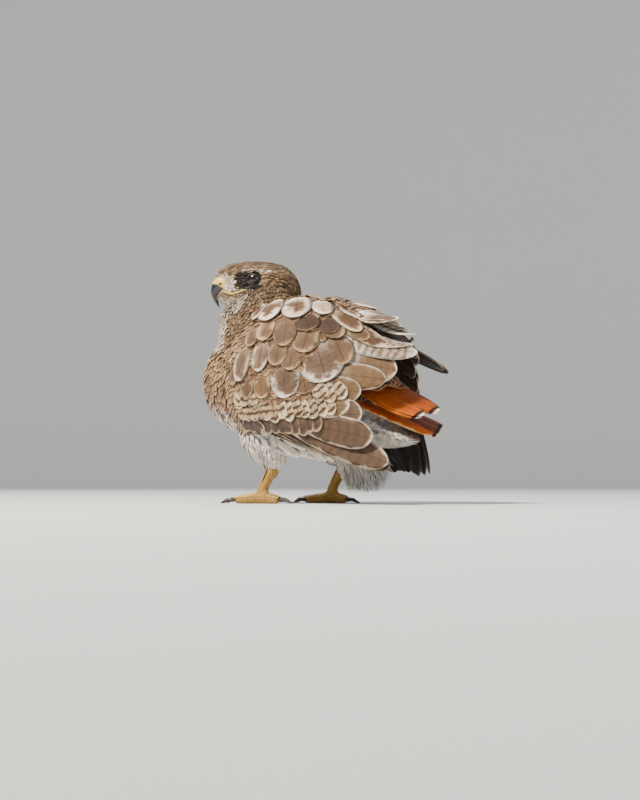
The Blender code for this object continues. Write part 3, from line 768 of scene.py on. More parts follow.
def spaced(at, spacing):
    """Picks places so that none is nearer to another than the spacing there."""
    cell = float(spacing.max())
    boxes, kept = {}, []
    keys = np.floor(at / cell).astype(int)
    for i in range(len(at)):
        x, y, z = keys[i]
        near = [k for a in (-1, 0, 1) for b in (-1, 0, 1) for c in (-1, 0, 1)
                for k in boxes.get((x + a, y + b, z + c), ())]
        if near and (((at[near] - at[i]) ** 2).sum(1) < spacing[i] ** 2).any():
            continue
        boxes.setdefault((x, y, z), []).append(i)
        kept.append(i)
    return np.array(kept, int)


# Markings of each tract: ground, rim and dark colours, then rim width, shaft streak and bar spacing
# in millimetres, bar strength, and how pale the root is.
MARKINGS = {
    "crown": ("80664D", "B8A083", "3B2A20", 0.45, 0.55, 4, 0.0, 0.15),
    "cheek": ("6C5541", "C2B29B", "34271E", 0.45, 0.60, 4, 0.0, 0.3),
    "eye_patch": ("231B17", "30261F", "15100D", 0.3, 0.4, 4, 0.0, 0.0),
    "pale": ("DBD3C7", "F0EBE2", "A08D78", 0.5, 0.15, 4, 0.0, 0.3),
    "chin_in_painted_shade": ("8A7867", "AC9C8A", "4A3B2F", 0.5, 0.3, 4, 0.0, 0.2),
    "throat": ("CBBFAE", "E5DDD0", "6B5543", 0.6, 0.40, 4, 0.0, 0.3),
    "neck": ("6E5642", "AB9274", "3A2A20", 0.7, 0.70, 5, 0.0, 0.2),
    "breast_side": ("765C47", "BBA284", "3E2D22", 1.0, 0.70, 6, 0.0, 0.2),
    "breast": ("E3DCD1", "F3EFE8", "70543F", 0.8, 1.30, 6, 0.0, 0.5),
    # The belly and the undertail are painted grey: painted shade on the bird's white underparts.
    "belly_in_painted_shade": ("D3CCC1", "E6E1D9", "A89680", 0.8, 0.15, 6, 0.0, 0.3),
    "thigh": ("E8E3D9", "F5F2EC", "CDBFA8", 0.6, 0.15, 6, 0.0, 0.3),
    "undertail": ("C9C5BC", "D2CEC6", "B9B2A6", 0.8, 0.05, 6, 0.0, 0.1),
    "mantle": ("644D3B", "B89F81", "2F2319", 1.1, 0.50, 6, 0.0, 0.2),
    "rump": ("4B3A2D", "84705A", "251B14", 0.9, 0.40, 6, 0.0, 0.1),
    "wing": ("6F5643", "B59C80", "3A2B21", 1.0, 0.45, 6, 0.0, 0.2),
}
marking_names = []
marking_rows = np.empty((0, 14))


def learn_markings(table):
    """Adds a table of markings to the ones that feathers may have."""
    global marking_rows
    marking_names.extend(table)
    rows = [[*linear(a)[:3], *linear(b)[:3], *linear(c)[:3], *numbers]
            for a, b, c, *numbers in table.values()]
    marking_rows = np.concatenate([marking_rows, np.array(rows)])


learn_markings(MARKINGS)


def looks_of(kinds, variety=0.12):
    """The numbers of each feather's markings, each a little unlike the rest."""
    rows = marking_rows[kinds].copy()
    rows[:, :9] *= np.exp(variety * luck.normal(size=(len(rows), 1)))
    rows[:, 9:11] *= np.exp(0.25 * luck.normal(size=(len(rows), 2)))
    return rows


def node_tree(*nodes):
    """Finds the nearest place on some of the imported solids."""
    mesh = swollen_copies(nodes, 0.0)
    places = read_rows(mesh.vertices, "co", 3)
    tree = BVHTree.FromPolygons(places.tolist(), [tuple(face.vertices) for face in mesh.polygons])
    bpy.data.meshes.remove(mesh)
    return tree


PARTS = (("head",), ("neck",), ("trunk",), ("undertail",), ("thigh_left", "thigh_right"),
         ("wing_left", "wing_right"), ("tarsus_left", "tarsus_right", "foot_left", "foot_right"))
part_trees = [node_tree(*nodes) for nodes in PARTS]
HEAD, NECK, TRUNK, UNDERTAIL, THIGH, WING, FOOT = range(7)


def nearest_part(at):
    """The number of the part that each place is nearest to."""
    return np.array([np.argmin([tree.find_nearest(point)[3] for tree in part_trees]) for point in at])


def tract_of(at, part):
    """Which markings a place has. Where two tracts meet, feathers of both are mixed."""
    def chance(share):
        return luck.random(len(at)) < share

    kind = np.full(len(at), marking_names.index("mantle"))
    x, y, z = at.T
    wide = np.abs(y)
    hx, hy, hz = in_head(at).T
    hy = np.abs(hy)

    def put(name, mask):
        kind[mask] = marking_names.index(name)

    # Feathers behind the body take the dark rump markings: the rump's own dark brown, deepened as painted shade
    # between the wings and the tail.
    put("rump", (part != WING) & chance(step_up(-x, 0.03, 0.06)))
    put("wing", part == WING)
    put("neck", (part == NECK) | (part == HEAD) | ((part == TRUNK) & chance(step_up(z, 0.195, 0.215))))
    front = (part == TRUNK) & (x > 0.035)
    put("breast_side", front & chance(1 - step_up(z, 0.205, 0.225)))
    centre = 1 - step_up(wide, 0.026, 0.048)
    low = 1 - step_up(z, 0.112, 0.140)
    put("breast", front & chance(np.maximum(centre * step_up(x, 0.10, 0.13), low * step_up(x, 0.06, 0.10))))
    put("belly_in_painted_shade", ((part == TRUNK) | (part == UNDERTAIL)) & chance(1 - step_up(z, 0.088, 0.104)) & (x < 0.11))
    tail_root = np.where((wide < 0.045) & (x < -0.085), 0.140, 0.118)
    put("undertail", (x < -0.045) & (z < tail_root) & (wide < 0.060))
    put("thigh", part == THIGH)
    head = head_weight(at) > 0.35
    put("crown", head & (hz > -0.006))
    put("cheek", head & (hz <= -0.006) & chance(0.8))
    under = head & chance(step_up(-hz, 0.012, 0.020)) & (hx > 0.004 - 0.6 * (hz + 0.02))
    put("throat", under)
    put("throat", (part == NECK) & (hx > 0.002) & chance(step_up(hx, 0.0, 0.012)) & (hy < 0.030))
    # Under the bill the chin feathers are painted dark grey-brown: painted shade of the bill on the pale throat.
    put("chin_in_painted_shade", head & (hx > 0.004) & (hz < -0.0085) & chance(step_up(hz, -0.0205, -0.0150)))
    # Round each eye the feathers are painted near black: partly the bird's own dark eye line, partly painted shade
    # from the brow.
    eye_gap = np.hypot((hx + 0.0005) / 1.8, hz - 0.0010)
    put("eye_patch", head & (hy > 0.010) & chance(1 - step_up(eye_gap, 0.0098, 0.0120)))
    # A line of pale feathers along each brow: painted highlight on the lit edge of the brow ridge.
    brow = (np.abs(hz - 0.0145 - 0.08 * (hx + 0.004)) < 0.0016) & (np.abs(hx + 0.004) < 0.019)
    put("pale", head & (hy > 0.010) & brow & chance(0.8))
    lores = np.hypot((hx - 0.0240) / 0.85, (hz + 0.0010) / 1.35)
    put("pale", head & chance(1 - step_up(lores, 0.0040, 0.0095)))
    return kind


# Places for feathers. None grows on the left shank, the feet, the end of the undertail, the bill, the
# cere and the eyes, or where the large feathers of the wings lie.
SCATTERED = 90000
OVERLAP = 0.31                    # how far apart feathers grow, as a share of their length
candidates, _ = scattered(SCATTERED)
lie, coat_length = plumage_lie(candidates)
local = in_head(candidates)
covered = candidates[:, 2] > np.where(candidates[:, 1] > 0, 0.047, 0.006)
covered &= ~((candidates[:, 0] < -0.128) & (candidates[:, 2] < 0.095))
bill_edge = 0.0280 + 0.0150 * step_up(local[:, 2], 0.000, 0.011)
covered &= ~((local[:, 0] > bill_edge) & (local[:, 2] > -0.0100) & (head_weight(candidates) > 0.2))
eye_rim = np.hypot((local[:, 0] + 0.0095) / 1.08, local[:, 2] - 0.0040)
covered &= ~((head_weight(candidates) > 0.3) & (np.abs(local[:, 1]) > 0.012) & (eye_rim < 0.0078))
candidates, lie, coat_length = candidates[covered], lie[covered], coat_length[covered]
kept = spaced(candidates, coat_length * OVERLAP)
candidates, lie, coat_length = candidates[kept], lie[kept], coat_length[kept]
part = nearest_part(candidates)
low_wing = (candidates[:, 2] < 0.132) & (candidates[:, 0] < 0.056)
kept = ~((part == WING) & ((candidates[:, 0] < -0.045) | low_wing)) & (part != FOOT)
candidates, lie, coat_length, part = candidates[kept], lie[kept], coat_length[kept], part[kept]
kinds = tract_of(candidates, part)
lie = lie + 0.10 * luck.normal(size=lie.shape)

TRACTS = (
    # piece, parts, shape, columns, width of the length, lift, sink, slot
    ("head_feathers", (HEAD,), POINTED, (-1, 0, 1), 0.27, 0.0006, 0.0010, "brown_feathers"),
    ("neck_feathers", (NECK,), OVAL, (-1, 0, 1), 0.38, 0.0012, 0.0024, "brown_feathers"),
    ("breast_feathers", (TRUNK,), OVAL, (-1, -0.5, 0, 0.5, 1), 0.40, 0.0016, 0.0034, "brown_feathers"),
    ("undertail_coverts", (UNDERTAIL,), OVAL, (-1, -0.5, 0, 0.5, 1), 0.40, 0.0008, 0.0022, "white_feathers"),
    ("thigh_feathers", (THIGH,), POINTED, (-1, 0, 1), 0.27, 0.0016, 0.0030, "white_feathers"),
    ("small_wing_coverts", (WING,), OVAL, (-1, -0.5, 0, 0.5, 1), 0.42, 0.0014, 0.0024, "brown_feathers"),
)
for name, parts, shape, columns, width, lift, sink, finish in TRACTS:
    here = np.isin(part, parts)
    size = coat_length[here] * np.exp(0.10 * luck.normal(size=here.sum()))
    lines, ups = laid_lines(candidates[here], lie[here], size, [s for s, _ in shape])
    piece = vanes(name, lines, ups, size, size * width * np.exp(0.08 * luck.normal(size=here.sum())),
                  looks_of(kinds[here]), shape, columns, sink=sink, lift=lift)
    finished(piece, contour_keratin, finish)

# Leg fluff: long soft feathers with loose barbs, no thicker than a few hairs, hang from the lower edge
# of the thighs. Behind the right leg they are long and shaggy and nearly reach the floor.
FLUFF_CENTRE_LEFT, FLUFF_CENTRE_RIGHT = 0.024, -0.028        # how far forward they grow
STRAND = ((0, 0.7), (0.3, 1.0), (0.6, 0.85), (0.85, 0.5), (1, 0.1))
FLUFF_MEETS = np.array((0.0380, 0.0500, 0.0300))     # where the left thigh's point lies on the shank


def hung(name, roots, ways, outs, bulge, facing, lengths, half_widths, looks, shape, **lie):
    """A piece of loose white feathers that hang straight from their roots and bulge a little outward."""
    share = np.array([s for s, _ in shape])[None, :, None]
    reach = lengths[:, None, None] * share
    hanging = roots[:, None] + ways[:, None] * reach + outs[:, None] * (bulge(share) * reach)
    ups = np.repeat(facing[:, None], len(shape), 1)
    piece = vanes(name, hanging, ups, lengths, half_widths, looks, shape, lift=0.0, camber=0.2, **lie)
    finished(piece, contour_keratin, "white_feathers")


for side, count, low, high, shortest, longest, drift in (
        ("left", 260, 0.045, 0.066, 0.009, 0.014, (0.30, -0.35, -1.0)),
        ("right", 900, 0.024, 0.066, 0.014, 0.030, (-0.50, -0.18, -1.0))):
    roots, outs = scattered(60000)
    flip, centre = (1, FLUFF_CENTRE_LEFT) if side == "left" else (-1, FLUFF_CENTRE_RIGHT)
    here = (roots[:, 1] * flip > 0.024) & (roots[:, 2] > low) & (roots[:, 2] < high)
    here &= (np.abs(roots[:, 0] - centre) < 0.030) & (np.abs(roots[:, 1]) < 0.080)
    roots, outs = roots[here], outs[here]
    thigh = nearest_part(roots) == THIGH
    roots, outs = roots[thigh][:count], outs[thigh][:count]
    ways = np.array(drift) + 0.16 * luck.normal(size=roots.shape) + 0.22 * outs
    if side == "left":
        to_point = FLUFF_MEETS - roots
        ways = to_point / np.linalg.norm(to_point, axis=1, keepdims=True) + 0.10 * outs
    ways /= np.linalg.norm(ways, axis=1, keepdims=True)
    floor = luck.uniform(0.012, 0.030, len(roots))
    lengths = luck.uniform(shortest, longest, len(roots))
    lengths = np.minimum(lengths, (roots[:, 2] - floor) / -ways[:, 2])
    lengths = np.maximum(lengths, 0.004)
    half_widths = luck.uniform(0.0006, 0.0014, len(roots))
    hung("leg_fluff_" + side, roots, ways, outs, lambda share: 0.12 * (1 - share), outs, lengths, half_widths,
         looks_of(np.full(len(roots), marking_names.index("thigh"))), STRAND, columns=(-1, 0, 1),
         sink=0.0015, thickness=0.0002)

# Wings and shoulders: broad scapulars hang from the shoulders over the coverts, the tertials cross
# the rump, and the flight feathers lie under them in fans. The left wing is folded. The right one
# hangs open beside the tail. Each row is a root and a tip in millimetres, width, markings and layer.
MARKINGS_OF_WINGS = {
    "scapular": ("634C3A", "DFCDB4", "281D16", 2.3, 0.40, 8, 0.10, 0.60),
    "scapular_pale": ("674E3B", "E9DCCA", "33261D", 3.4, 0.40, 9, 0.10, 1.00),
    "scapular_soft": ("6A5443", "B29A7E", "30241B", 1.9, 0.35, 8, 0.0, 0.30),
    "scapular_dark": ("4A382C", "7E6753", "211812", 1.4, 0.40, 8, 0.0, 0.30),
    "scapular_grey": ("6B584A", "D3C4B1", "33281F", 1.7, 0.40, 8, 0.0, 0.20),
    "scapular_big": ("695547", "EBE1D3", "2A2018", 2.8, 0.40, 7, 0.22, 0.25),
    "whitish": ("BCAA94", "F3ECE1", "6E5743", 2.6, 0.35, 9, 0.25, 0.80),
    "covert": ("6B5340", "C8B293", "33261D", 1.5, 0.40, 7, 0.0, 0.35),
    "greater": ("C9B294", "E4D5BC", "3D2D21", 0.8, 0.30, 8.5, 1.0, 0.2),
    "greater_dark": ("56443A", "BBA68A", "2E241C", 1.0, 0.45, 11, 0.35, 0.5),
    "alula": ("4A3A30", "C9BAA5", "241B15", 0.8, 0.45, 11, 0.0, 0.0),
    "barred": ("B8AA9B", "ECE5DA", "5C4A3A", 1.8, 0.40, 9, 0.80, 0.5),
    "tertial_pale": ("8C745D", "EFE6D9", "54402F", 2.2, 0.40, 8, 0.30, 0.80),
    "tertial": ("7E6650", "E2D5C2", "43321F", 1.3, 0.45, 12, 0.25, 0.2),
    "secondary": ("5C4A3D", "D6C8B4", "30241B", 1.1, 0.45, 12, 0.30, 0.0),
    "primary": ("43362C", "9A8B79", "1F1814", 0.8, 0.50, 14, 0.40, 0.0),
    "dark_quill": ("2B241F", "6B6058", "151110", 0.7, 0.50, 14, 0.30, 0.0),
}
learn_markings(MARKINGS_OF_WINGS)
SCAPULARS = (
    ((54, 46, 245), (36, 77, 218), 22, "scapular", 4.4),
    ((38, 44, 247), (15, 80, 217), 34, "scapular_pale", 4.2),
    ((6, 38, 250), (-18, 70, 219), 37, "scapular_pale", 4.0),
    ((-20, 28, 247), (-44, 50, 223), 26, "whitish", 3.6),
    ((-36, 30, 241), (-88, 36, 206), 27, "scapular", 3.0),
    ((-19, 57, 229), (-38, 70, 202), 33, "scapular_dark", 2.7),
    ((-38, 48, 225), (-62, 54, 199), 29, "scapular_dark", 2.5),
    ((-3, 68, 226), (-15, 87, 185), 31, "scapular_soft", 3.0),
    ((17, 74, 222), (16, 89, 192), 26, "scapular_soft", 3.0),
    ((36, 78, 214), (33, 90, 186), 22, "scapular_soft", 2.8),
    ((-35, 62, 214), (-37, 81, 176), 33, "scapular_soft", 2.4),
    ((-53, 38, 221), (-118, 22, 188), 30, "scapular", 2.2),
    ((-62, 37, 214), (-94, 30, 191), 24, "scapular_soft", 2.0),
    ((40, 88, 198), (50, 95, 146), 27, "scapular_grey", 2.6),
    ((17, 88, 198), (16, 96, 156), 25, "scapular_grey", 2.8),
    ((-5, 85, 197), (-9, 93, 162), 27, "scapular_soft", 2.6),
    ((-25, 80, 194), (-27, 91, 156), 28, "scapular_soft", 2.4),
    ((-44, 69, 197), (-71, 77, 142), 54, "scapular_big", 2.3),
    ((-58, 54, 203), (-85, 60, 162), 35, "scapular_soft", 1.7),
    ((-18, 88, 180), (-23, 95, 124), 42, "scapular_big", 2.1),
    ((19, 96, 162), (8, 97, 125), 28, "covert", 1.9),
    ((40, 96, 156), (34, 96, 126), 24, "covert", 1.8), ((-42, 87, 151), (-50, 88, 129), 26, "covert", 1.5),
    ((58, 91, 174), (61, 93, 142), 20, "scapular_soft", 2.2),
    ((-47, 50, 217), (-70, 51, 194), 26, "scapular_soft", 2.2),
)
MIDDLE_SCAPULARS = (
    ((-30, 16, 240), (-74, 20, 226), 27, "scapular_pale", 3.0),
    ((-52, 12, 234), (-104, 14, 213), 26, "whitish", 2.8),
    ((-54, -15, 224), (-124, -20, 198), 27, "barred", 2.2),
    ((-39, -4, 236), (-106, -12, 216), 26, "scapular_pale", 2.8),
    ((-35, -25, 231), (-116, -30, 204), 27, "scapular_pale", 3.0),
    ((-40, -36, 226), (-96, -48, 200), 27, "scapular", 2.6),
)
# Feathers of the left wing that are drawn one by one: tertials, the longest secondaries and primaries,
# and the alula at the wrist
WING_POINT = (
    ((13, 84, 88), (-124, 57, 50), 19, "primary", -3.0), ((4, 86, 90), (-137, 57, 46), 23, "primary", -2.4),
    ((-5, 87, 92), (-146, 57, 43), 27, "primary", -1.8),
    ((-17, 89, 96), (-146, 59, 48), 35, "secondary", -1.0),
)
WING_POINT_UP = (-0.30, 0.93, 0.14)
LEFT_QUILLS = (
    ((-34, 91, 97), (-129, 65, 76), 36, "secondary", 0.7),
    ((-47, 89, 104), (-115, 67, 104), 37, "secondary", 0.9),
    ((-38, 92, 118), (-101, 73, 114), 31, "tertial", 1.1),
    ((-57, 85, 136), (-112, 66, 131), 33, "tertial", 1.3),
    ((-68, 76, 153), (-131, 42, 145), 33, "tertial", 1.5),
    ((-72, 62, 170), (-131, 22, 154), 43, "tertial_pale", 2.4),
    ((-70, 46, 201), (-133, -4, 186), 26, "barred", 1.9), ((-70, 54, 192), (-143, 0, 175), 33, "barred", 2.1),
)
# Fans: first root and tip, last root and tip, how many, width, markings, first and last layer
LEFT_FANS = (
    ((47, 92, 107), (50, 84, 86), (-56, 87, 108), (-66, 82, 84), 12, 19, "greater_dark", 1.5, 1.7),
    ((44, 94, 122), (48, 90, 99), (-66, 83, 128), (-84, 79, 103), 13, 19, "greater", 2.0, 2.2),
    ((48, 95, 138), (53, 92, 114), (-74, 76, 144), (-96, 71, 121), 13, 19, "greater", 2.4, 2.6),
    ((40, 91, 103), (13, 88, 91), (46, 86, 95), (20, 84, 85), 3, 13, "alula", 2.7, 2.3),
)
# The right wing's hanging quills are painted near black: painted shade on their paler undersides.
RIGHT_FANS = (
    ((6, -94, 109), (-42, -88, 39), (-68, -93, 149), (-95, -88, 35), 8, 21, "dark_quill", 0.0, 0.6),
    ((-40, -90, 140), (-84, -83, 92), (-40, -84, 195), (-112, -42, 172), 8, 30, "secondary", 0.6, 1.0),
    ((-50, -84, 196), (-124, -89, 157), (-54, -80, 204), (-120, -84, 162), 2, 17, "dark_quill", 0.8, 1.0),
    ((-50, -70, 208), (-116, -36, 180), (-56, -40, 216), (-120, -6, 188), 3, 34, "tertial", 1.1, 1.5),
    ((50, -91, 118), (46, -86, 89), (-56, -87, 140), (-76, -86, 112), 13, 18, "greater_dark", 1.0, 1.3),
    ((50, -93, 136), (48, -92, 104), (-52, -87, 158), (-70, -87, 130), 12, 19, "greater", 1.5, 1.7),
    ((50, -92, 154), (50, -94, 124), (-46, -86, 178), (-62, -87, 150), 8, 21, "covert", 1.9, 2.1),
)
DRAWN_REACH = 0.012               # a drawn line is laid on the form where it is nearer than this


def drawn_lines(roots, tips, shares, free_up=None):
    """Centre lines from given roots to given tips, laid on the form where it is near, or free of it
    with one way up."""
    share = np.array(shares)[None, :, None]
    lines = roots[:, None] * (1 - share) + tips[:, None] * share
    ups = np.empty_like(lines)
    if free_up is not None:
        ups[:] = np.array(free_up) / np.linalg.norm(free_up)
        return lines, ups
    for i in range(len(lines)):
        up = None
        for k in range(len(shares)):
            hit, normal, _, gap = form_tree.find_nearest(lines[i, k])
            if gap < DRAWN_REACH and (up is None or normal.dot(up) > 0.2):
                lines[i, k] = hit
                up = normal if up is None else (up * 0.4 + normal * 0.6).normalized()
            elif up is None:
                up = normal
            ups[i, k] = up
    for values in (lines, ups):
        for _ in range(5):
            values[:, 1:-1] = values[:, 1:-1] * 0.5 + (values[:, :-2] + values[:, 2:]) * 0.25
    gone = np.linalg.norm(np.diff(lines, axis=1), axis=2).cumsum(1)
    for i in range(len(lines)):
        reached = np.concatenate([[0], gone[i]]) / gone[i, -1]
        for values in (lines, ups):
            values[i] = np.stack([np.interp(shares, reached, values[i][:, k]) for k in range(3)], -1)
    return lines, ups / np.linalg.norm(ups, axis=2, keepdims=True)


def placed_vanes(name, rows, shape, finish, made_of, *nodes, free_up=None, **options):
    """A piece of feathers from rows of root, tip, width, markings and layer in millimetres."""
    roots = np.array([row[0] for row in rows]) / 1000
    tips = np.array([row[1] for row in rows]) / 1000
    lines, ups = drawn_lines(roots, tips, [s for s, _ in shape], free_up=free_up)
    kinds = np.array([marking_names.index(row[3]) for row in rows])
    lengths = np.linalg.norm(np.diff(lines, axis=1), axis=2).sum(1)
    half_widths = np.array([row[2] for row in rows]) / 2000
    piece = vanes(name, lines, ups, lengths, half_widths, looks_of(kinds, 0.10), shape, SEVEN,
                  base=np.array([row[4] for row in rows]) / 1000, **options)
    finished(piece, made_of, finish, *nodes)


def fan_rows(fan):
    """Rows of feathers between the first and the last of a fan, each a little out of line."""
    first_root, first_tip, last_root, last_tip, count, width, kind, low, high = fan
    rows = []
    for i in range(count):
        t = i / (count - 1)
        root, tip = (np.array(first) * (1 - t) + np.array(last) * t
                     for first, last in ((first_root, last_root), (first_tip, last_tip)))
        tip = tip + luck.normal(size=3) * 1.2
        rows.append((root, tip, width * (1 + 0.06 * luck.normal()), kind, low * (1 - t) + high * t))
    return rows


LONG = ((0, 0.45), (0.12, 0.62), (0.28, 0.82), (0.45, 0.95), (0.60, 1.0), (0.74, 0.98), (0.84, 0.88),
        (0.91, 0.72), (0.96, 0.50), (0.99, 0.24), (1, 0.06))
BROAD = ((0, 0.50), (0.16, 0.74), (0.34, 0.92), (0.52, 1.0), (0.68, 0.98), (0.80, 0.87), (0.89, 0.70),
         (0.95, 0.49), (0.985, 0.26), (1, 0.06))
SEVEN = (-1, -0.66, -0.33, 0, 0.33, 0.66, 1)
TERTIAL_KINDS = ("barred", "tertial", "tertial_pale")
SCAPULAR_LIE = {"sink": 0.004, "lift": 0.0012, "thickness": 0.0005, "ragged": 0.02}
QUILL_LIE = {"sink": 0.003, "lift": 0.0004, "thickness": 0.0006, "ragged": 0.008}
right_quills = [row for fan in RIGHT_FANS[:4] for row in fan_rows(fan)]
for side, flip, quill_rows, fans in (("left", 1, LEFT_QUILLS, LEFT_FANS),
                                     ("right", -1, right_quills, RIGHT_FANS[4:])):
    scapulars = [((x, y * flip, z), (a, b * flip, c), width, kind, layer)
                 for (x, y, z), (a, b, c), width, kind, layer in SCAPULARS]
    placed_vanes("scapulars_" + side, scapulars, BROAD, "brown_feathers", contour_keratin, hug=True,
                 camber=0.06, **SCAPULAR_LIE)
    tertials = [row for row in quill_rows if row[3] in TERTIAL_KINDS]
    quill_rows = [row for row in quill_rows if row[3] not in TERTIAL_KINDS]
    placed_vanes("tertials_" + side, tertials, BROAD, "brown_feathers", contour_keratin,
                 sink=0.003, lift=0.0006, camber=0.11, thickness=0.0005, ragged=0.012)
    placed_vanes("coverts_" + side, [row for fan in fans for row in fan_rows(fan)], BROAD, "brown_feathers",
                 contour_keratin, hug=True, sink=0.003, lift=0.0008, camber=0.08, ragged=0.02)
    nodes = ("primaries_left",) if side == "left" else ("primaries_right", "tertial_right")
    placed_vanes("flight_feathers_" + side, quill_rows, LONG, "dark_quills", quill_keratin, *nodes,
                 camber=0.07, **QUILL_LIE)
placed_vanes("wing_point_left", WING_POINT, LONG, "dark_quills", quill_keratin, free_up=WING_POINT_UP,
             camber=0.10, **QUILL_LIE)
placed_vanes("scapulars_middle", MIDDLE_SCAPULARS, BROAD, "brown_feathers", contour_keratin,
             camber=0.10, **SCAPULAR_LIE)

# Tail: broad rufous quills, seven of the bird's twelve, folded in two decks that have slipped apart. The upper deck is
# the middle pair with the left ones, and the right ones lie lower and turn outward. Each has a thin dark band before
# its white tip. Small coverts close the roots above and below.
# The lower deck's quills are painted darker, painted shade under the upper deck, except its first quill, which is
# painted brighter orange, painted sunlight on its open edge.
RECTRIX = {"rectrix": ("A9562C", "C78A58", "2A1A12", 0.7, 0.36, 15, 0.18, 0.0),
           "rectrix_painted_sunlit": ("C9682F", "EBC79B", "1E1410", 0.9, 0.50, 15, 0.05, 0.0),
           "tail_covert": ("6B4431", "B58D6B", "2A1C14", 1.4, 0.40, 8, 0.3, 0.2),
           "rectrix_shaded": ("8A4728", "B07A50", "1E140F", 0.7, 0.40, 15, 0.25, 0.0)}
learn_markings(RECTRIX)
rufous_keratin = keratin_vane("rufous_quill_keratin", 0.5, 0.04, 0.15, 0.12, band=(3.6, 4.6, 8.6))
TAIL_UP = (-0.30, 0.36, 0.88)
LOWER_DECK = (((-92, 24, 116), (-160, -22, 80)), ((-86, 17, 119), (-158, -30, 84)),
              ((-80, 10, 122), (-153, -42, 89)))
UPPER_DECK = (((-96, 26, 131), (-158, 12, 101)), ((-94, 22, 133), (-160, 9, 103)),
              ((-92, 6, 141), (-166, -9, 105)), ((-90, 2, 143), (-166, -13, 107)))
HIDDEN = 0.45                     # the share of a tail quill that lies inside the body
deck = []
for rows, kind, width, layer in ((LOWER_DECK, "rectrix_shaded", 26, 0.7), (UPPER_DECK, "rectrix", 30, 0.8)):
    for i, (root, tip) in enumerate(rows):
        root = np.array(root) + HIDDEN * (np.array(root) - np.array(tip))
        sunlit_edge = rows is LOWER_DECK and i == 0
        deck.append((root, tip, width, "rectrix_painted_sunlit" if sunlit_edge else kind, layer * i))
placed_vanes("tail_feathers", deck, LONG, "red_tail", rufous_keratin, "tail", free_up=TAIL_UP,
             sink=0.001, lift=0.0, camber=0.12, thickness=0.0006, ragged=0.006)
cover = []
for row, (back, drop, width) in enumerate(((26, 12, 19), (14, 5, 21), (0, 0, 22))):
    for i in range(7):
        t = i / 6
        root = np.array((-62 - back, 42 - 54 * t, 158 - drop + 8 * math.sin(math.pi * t)))
        tip = root + (-30, -7, -15) + luck.normal(size=3)
        cover.append((root, tip, width, "tail_covert", 1.0 + row))
placed_vanes("tail_coverts", cover, BROAD, "brown_feathers", contour_keratin, free_up=TAIL_UP,
             sink=0.003, lift=0.001, camber=0.10, ragged=0.02)

# Flank feathers: long soft white feathers hang loose from the side of the belly between the legs and
# end below the wing. They lie over each other and are fixed along the edge of the trunk.
FLANK_SPACING = 0.0050
FLANK_WAY = (-0.82, -0.06, -0.56)
FLANK_LOWEST = 0.053
roots, outs = scattered(60000)
here = (roots[:, 1] > 0.012) & (roots[:, 1] < 0.066) & (roots[:, 0] > -0.078) & (roots[:, 0] < 0.020)
here &= (roots[:, 2] > 0.064) & (roots[:, 2] < 0.104) & (outs[:, 2] < 0.3)
roots, outs = roots[here], outs[here]
kept = spaced(roots, np.full(len(roots), FLANK_SPACING))
roots, outs = roots[kept], outs[kept]
ways = np.array(FLANK_WAY) + 0.05 * luck.normal(size=roots.shape)
ways /= np.linalg.norm(ways, axis=1, keepdims=True)
lowest = FLANK_LOWEST + 0.010 * luck.random(len(roots))
lengths = np.clip((roots[:, 2] - lowest) / -ways[:, 2], 0.012, 0.046)
facing = outs + np.array((-0.35, 0.95, -0.10))
facing /= np.linalg.norm(facing, axis=1, keepdims=True)
hung("flank_feathers", roots, ways, outs, lambda share: 0.10, facing, lengths, lengths * 0.13 + 0.0010,
     looks_of(np.full(len(roots), marking_names.index("thigh")), 0.04), OVAL, thickness=0.0003)

# Skin colours: under the plumage it has the markings of the feathers over it. Where it lies deep under the wings it is
# painted with the dark rump colour, painted shade. The legs and toes are bare, waxy yellow, with small round scales at
# the sides and below.
LEG_TOP = 0.056                   # above this height no skin is bare
ANKLE_TOP = 0.036                 # above this height the skin is bare only close to the shank
LEFT_BARE = 0.0450                # below this height the left leg is bare all round
DEEP = 0.0060                     # how far under the form the skin is hidden by the wings
root_finder = KDTree(len(candidates))
for i, place in enumerate(candidates):
    root_finder.insert(place, i)
root_finder.balance()
leg_trees = [node_tree("tarsus_" + side, "foot_" + side) for side in ("left", "right")]
skin_ground = np.ones((len(skin_points), 4))
skin_bare = np.zeros(len(skin_points))
for i, place in enumerate(skin_points):
    if place[2] < LEG_TOP:
        near_leg = min(tree.find_nearest(place)[3] for tree in leg_trees)
        on_leg = near_leg < (0.0030 if place[2] < ANKLE_TOP else 0.0012)
        skin_bare[i] = on_leg or (place[1] > 0 and place[2] < LEFT_BARE)
    kind = kinds[root_finder.find(place)[1]]
    # Skin under the wings or deep under the form gets the dark rump colour, painted shade.
    if abs(place[1]) > 0.046 and place[0] < -0.034 or form_tree.find_nearest(place)[3] > DEEP:
        kind = marking_names.index("rump")
    skin_ground[i, :3] = marking_rows[kind, :3]
marked(skin_mesh, "ground", "FLOAT_COLOR", skin_ground)
marked(skin_mesh, "bare", "FLOAT", skin_bare)

# The scales are about 1.8 mm wide, with dark lines between them that lie a little deeper.
hide, tree, place = material("waxy_leg_and_body_skin", Roughness=0.5, Specular_IOR_Level=0.4,
                             Subsurface_Weight=0.08, Subsurface_Radius=(0.002, 0.001, 0.0006))
under = add(tree, "ShaderNodeAttribute", attribute_name="ground")["Color"]
is_bare = add(tree, "ShaderNodeAttribute", attribute_name="bare")["Fac"]
to_edge = add(tree, "ShaderNodeTexVoronoi", place, Scale=560.0, feature="DISTANCE_TO_EDGE")["Distance"]
blotch = add(tree, "ShaderNodeTexNoise", place, Scale=190.0, Detail=3.0)
yellow = painted(linear("A0762C"), blotch, linear("CDA552"))
yellow = painted(yellow, fade(to_edge, 0.02, 0.16), linear("6E4C1D"))
surface(tree, painted(under, is_bare, yellow), fade(to_edge, 0.3, 0.0), 0.7, 0.0005)
skin_mesh.materials.append(hide)
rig.slot(skin, "yellow_skin")

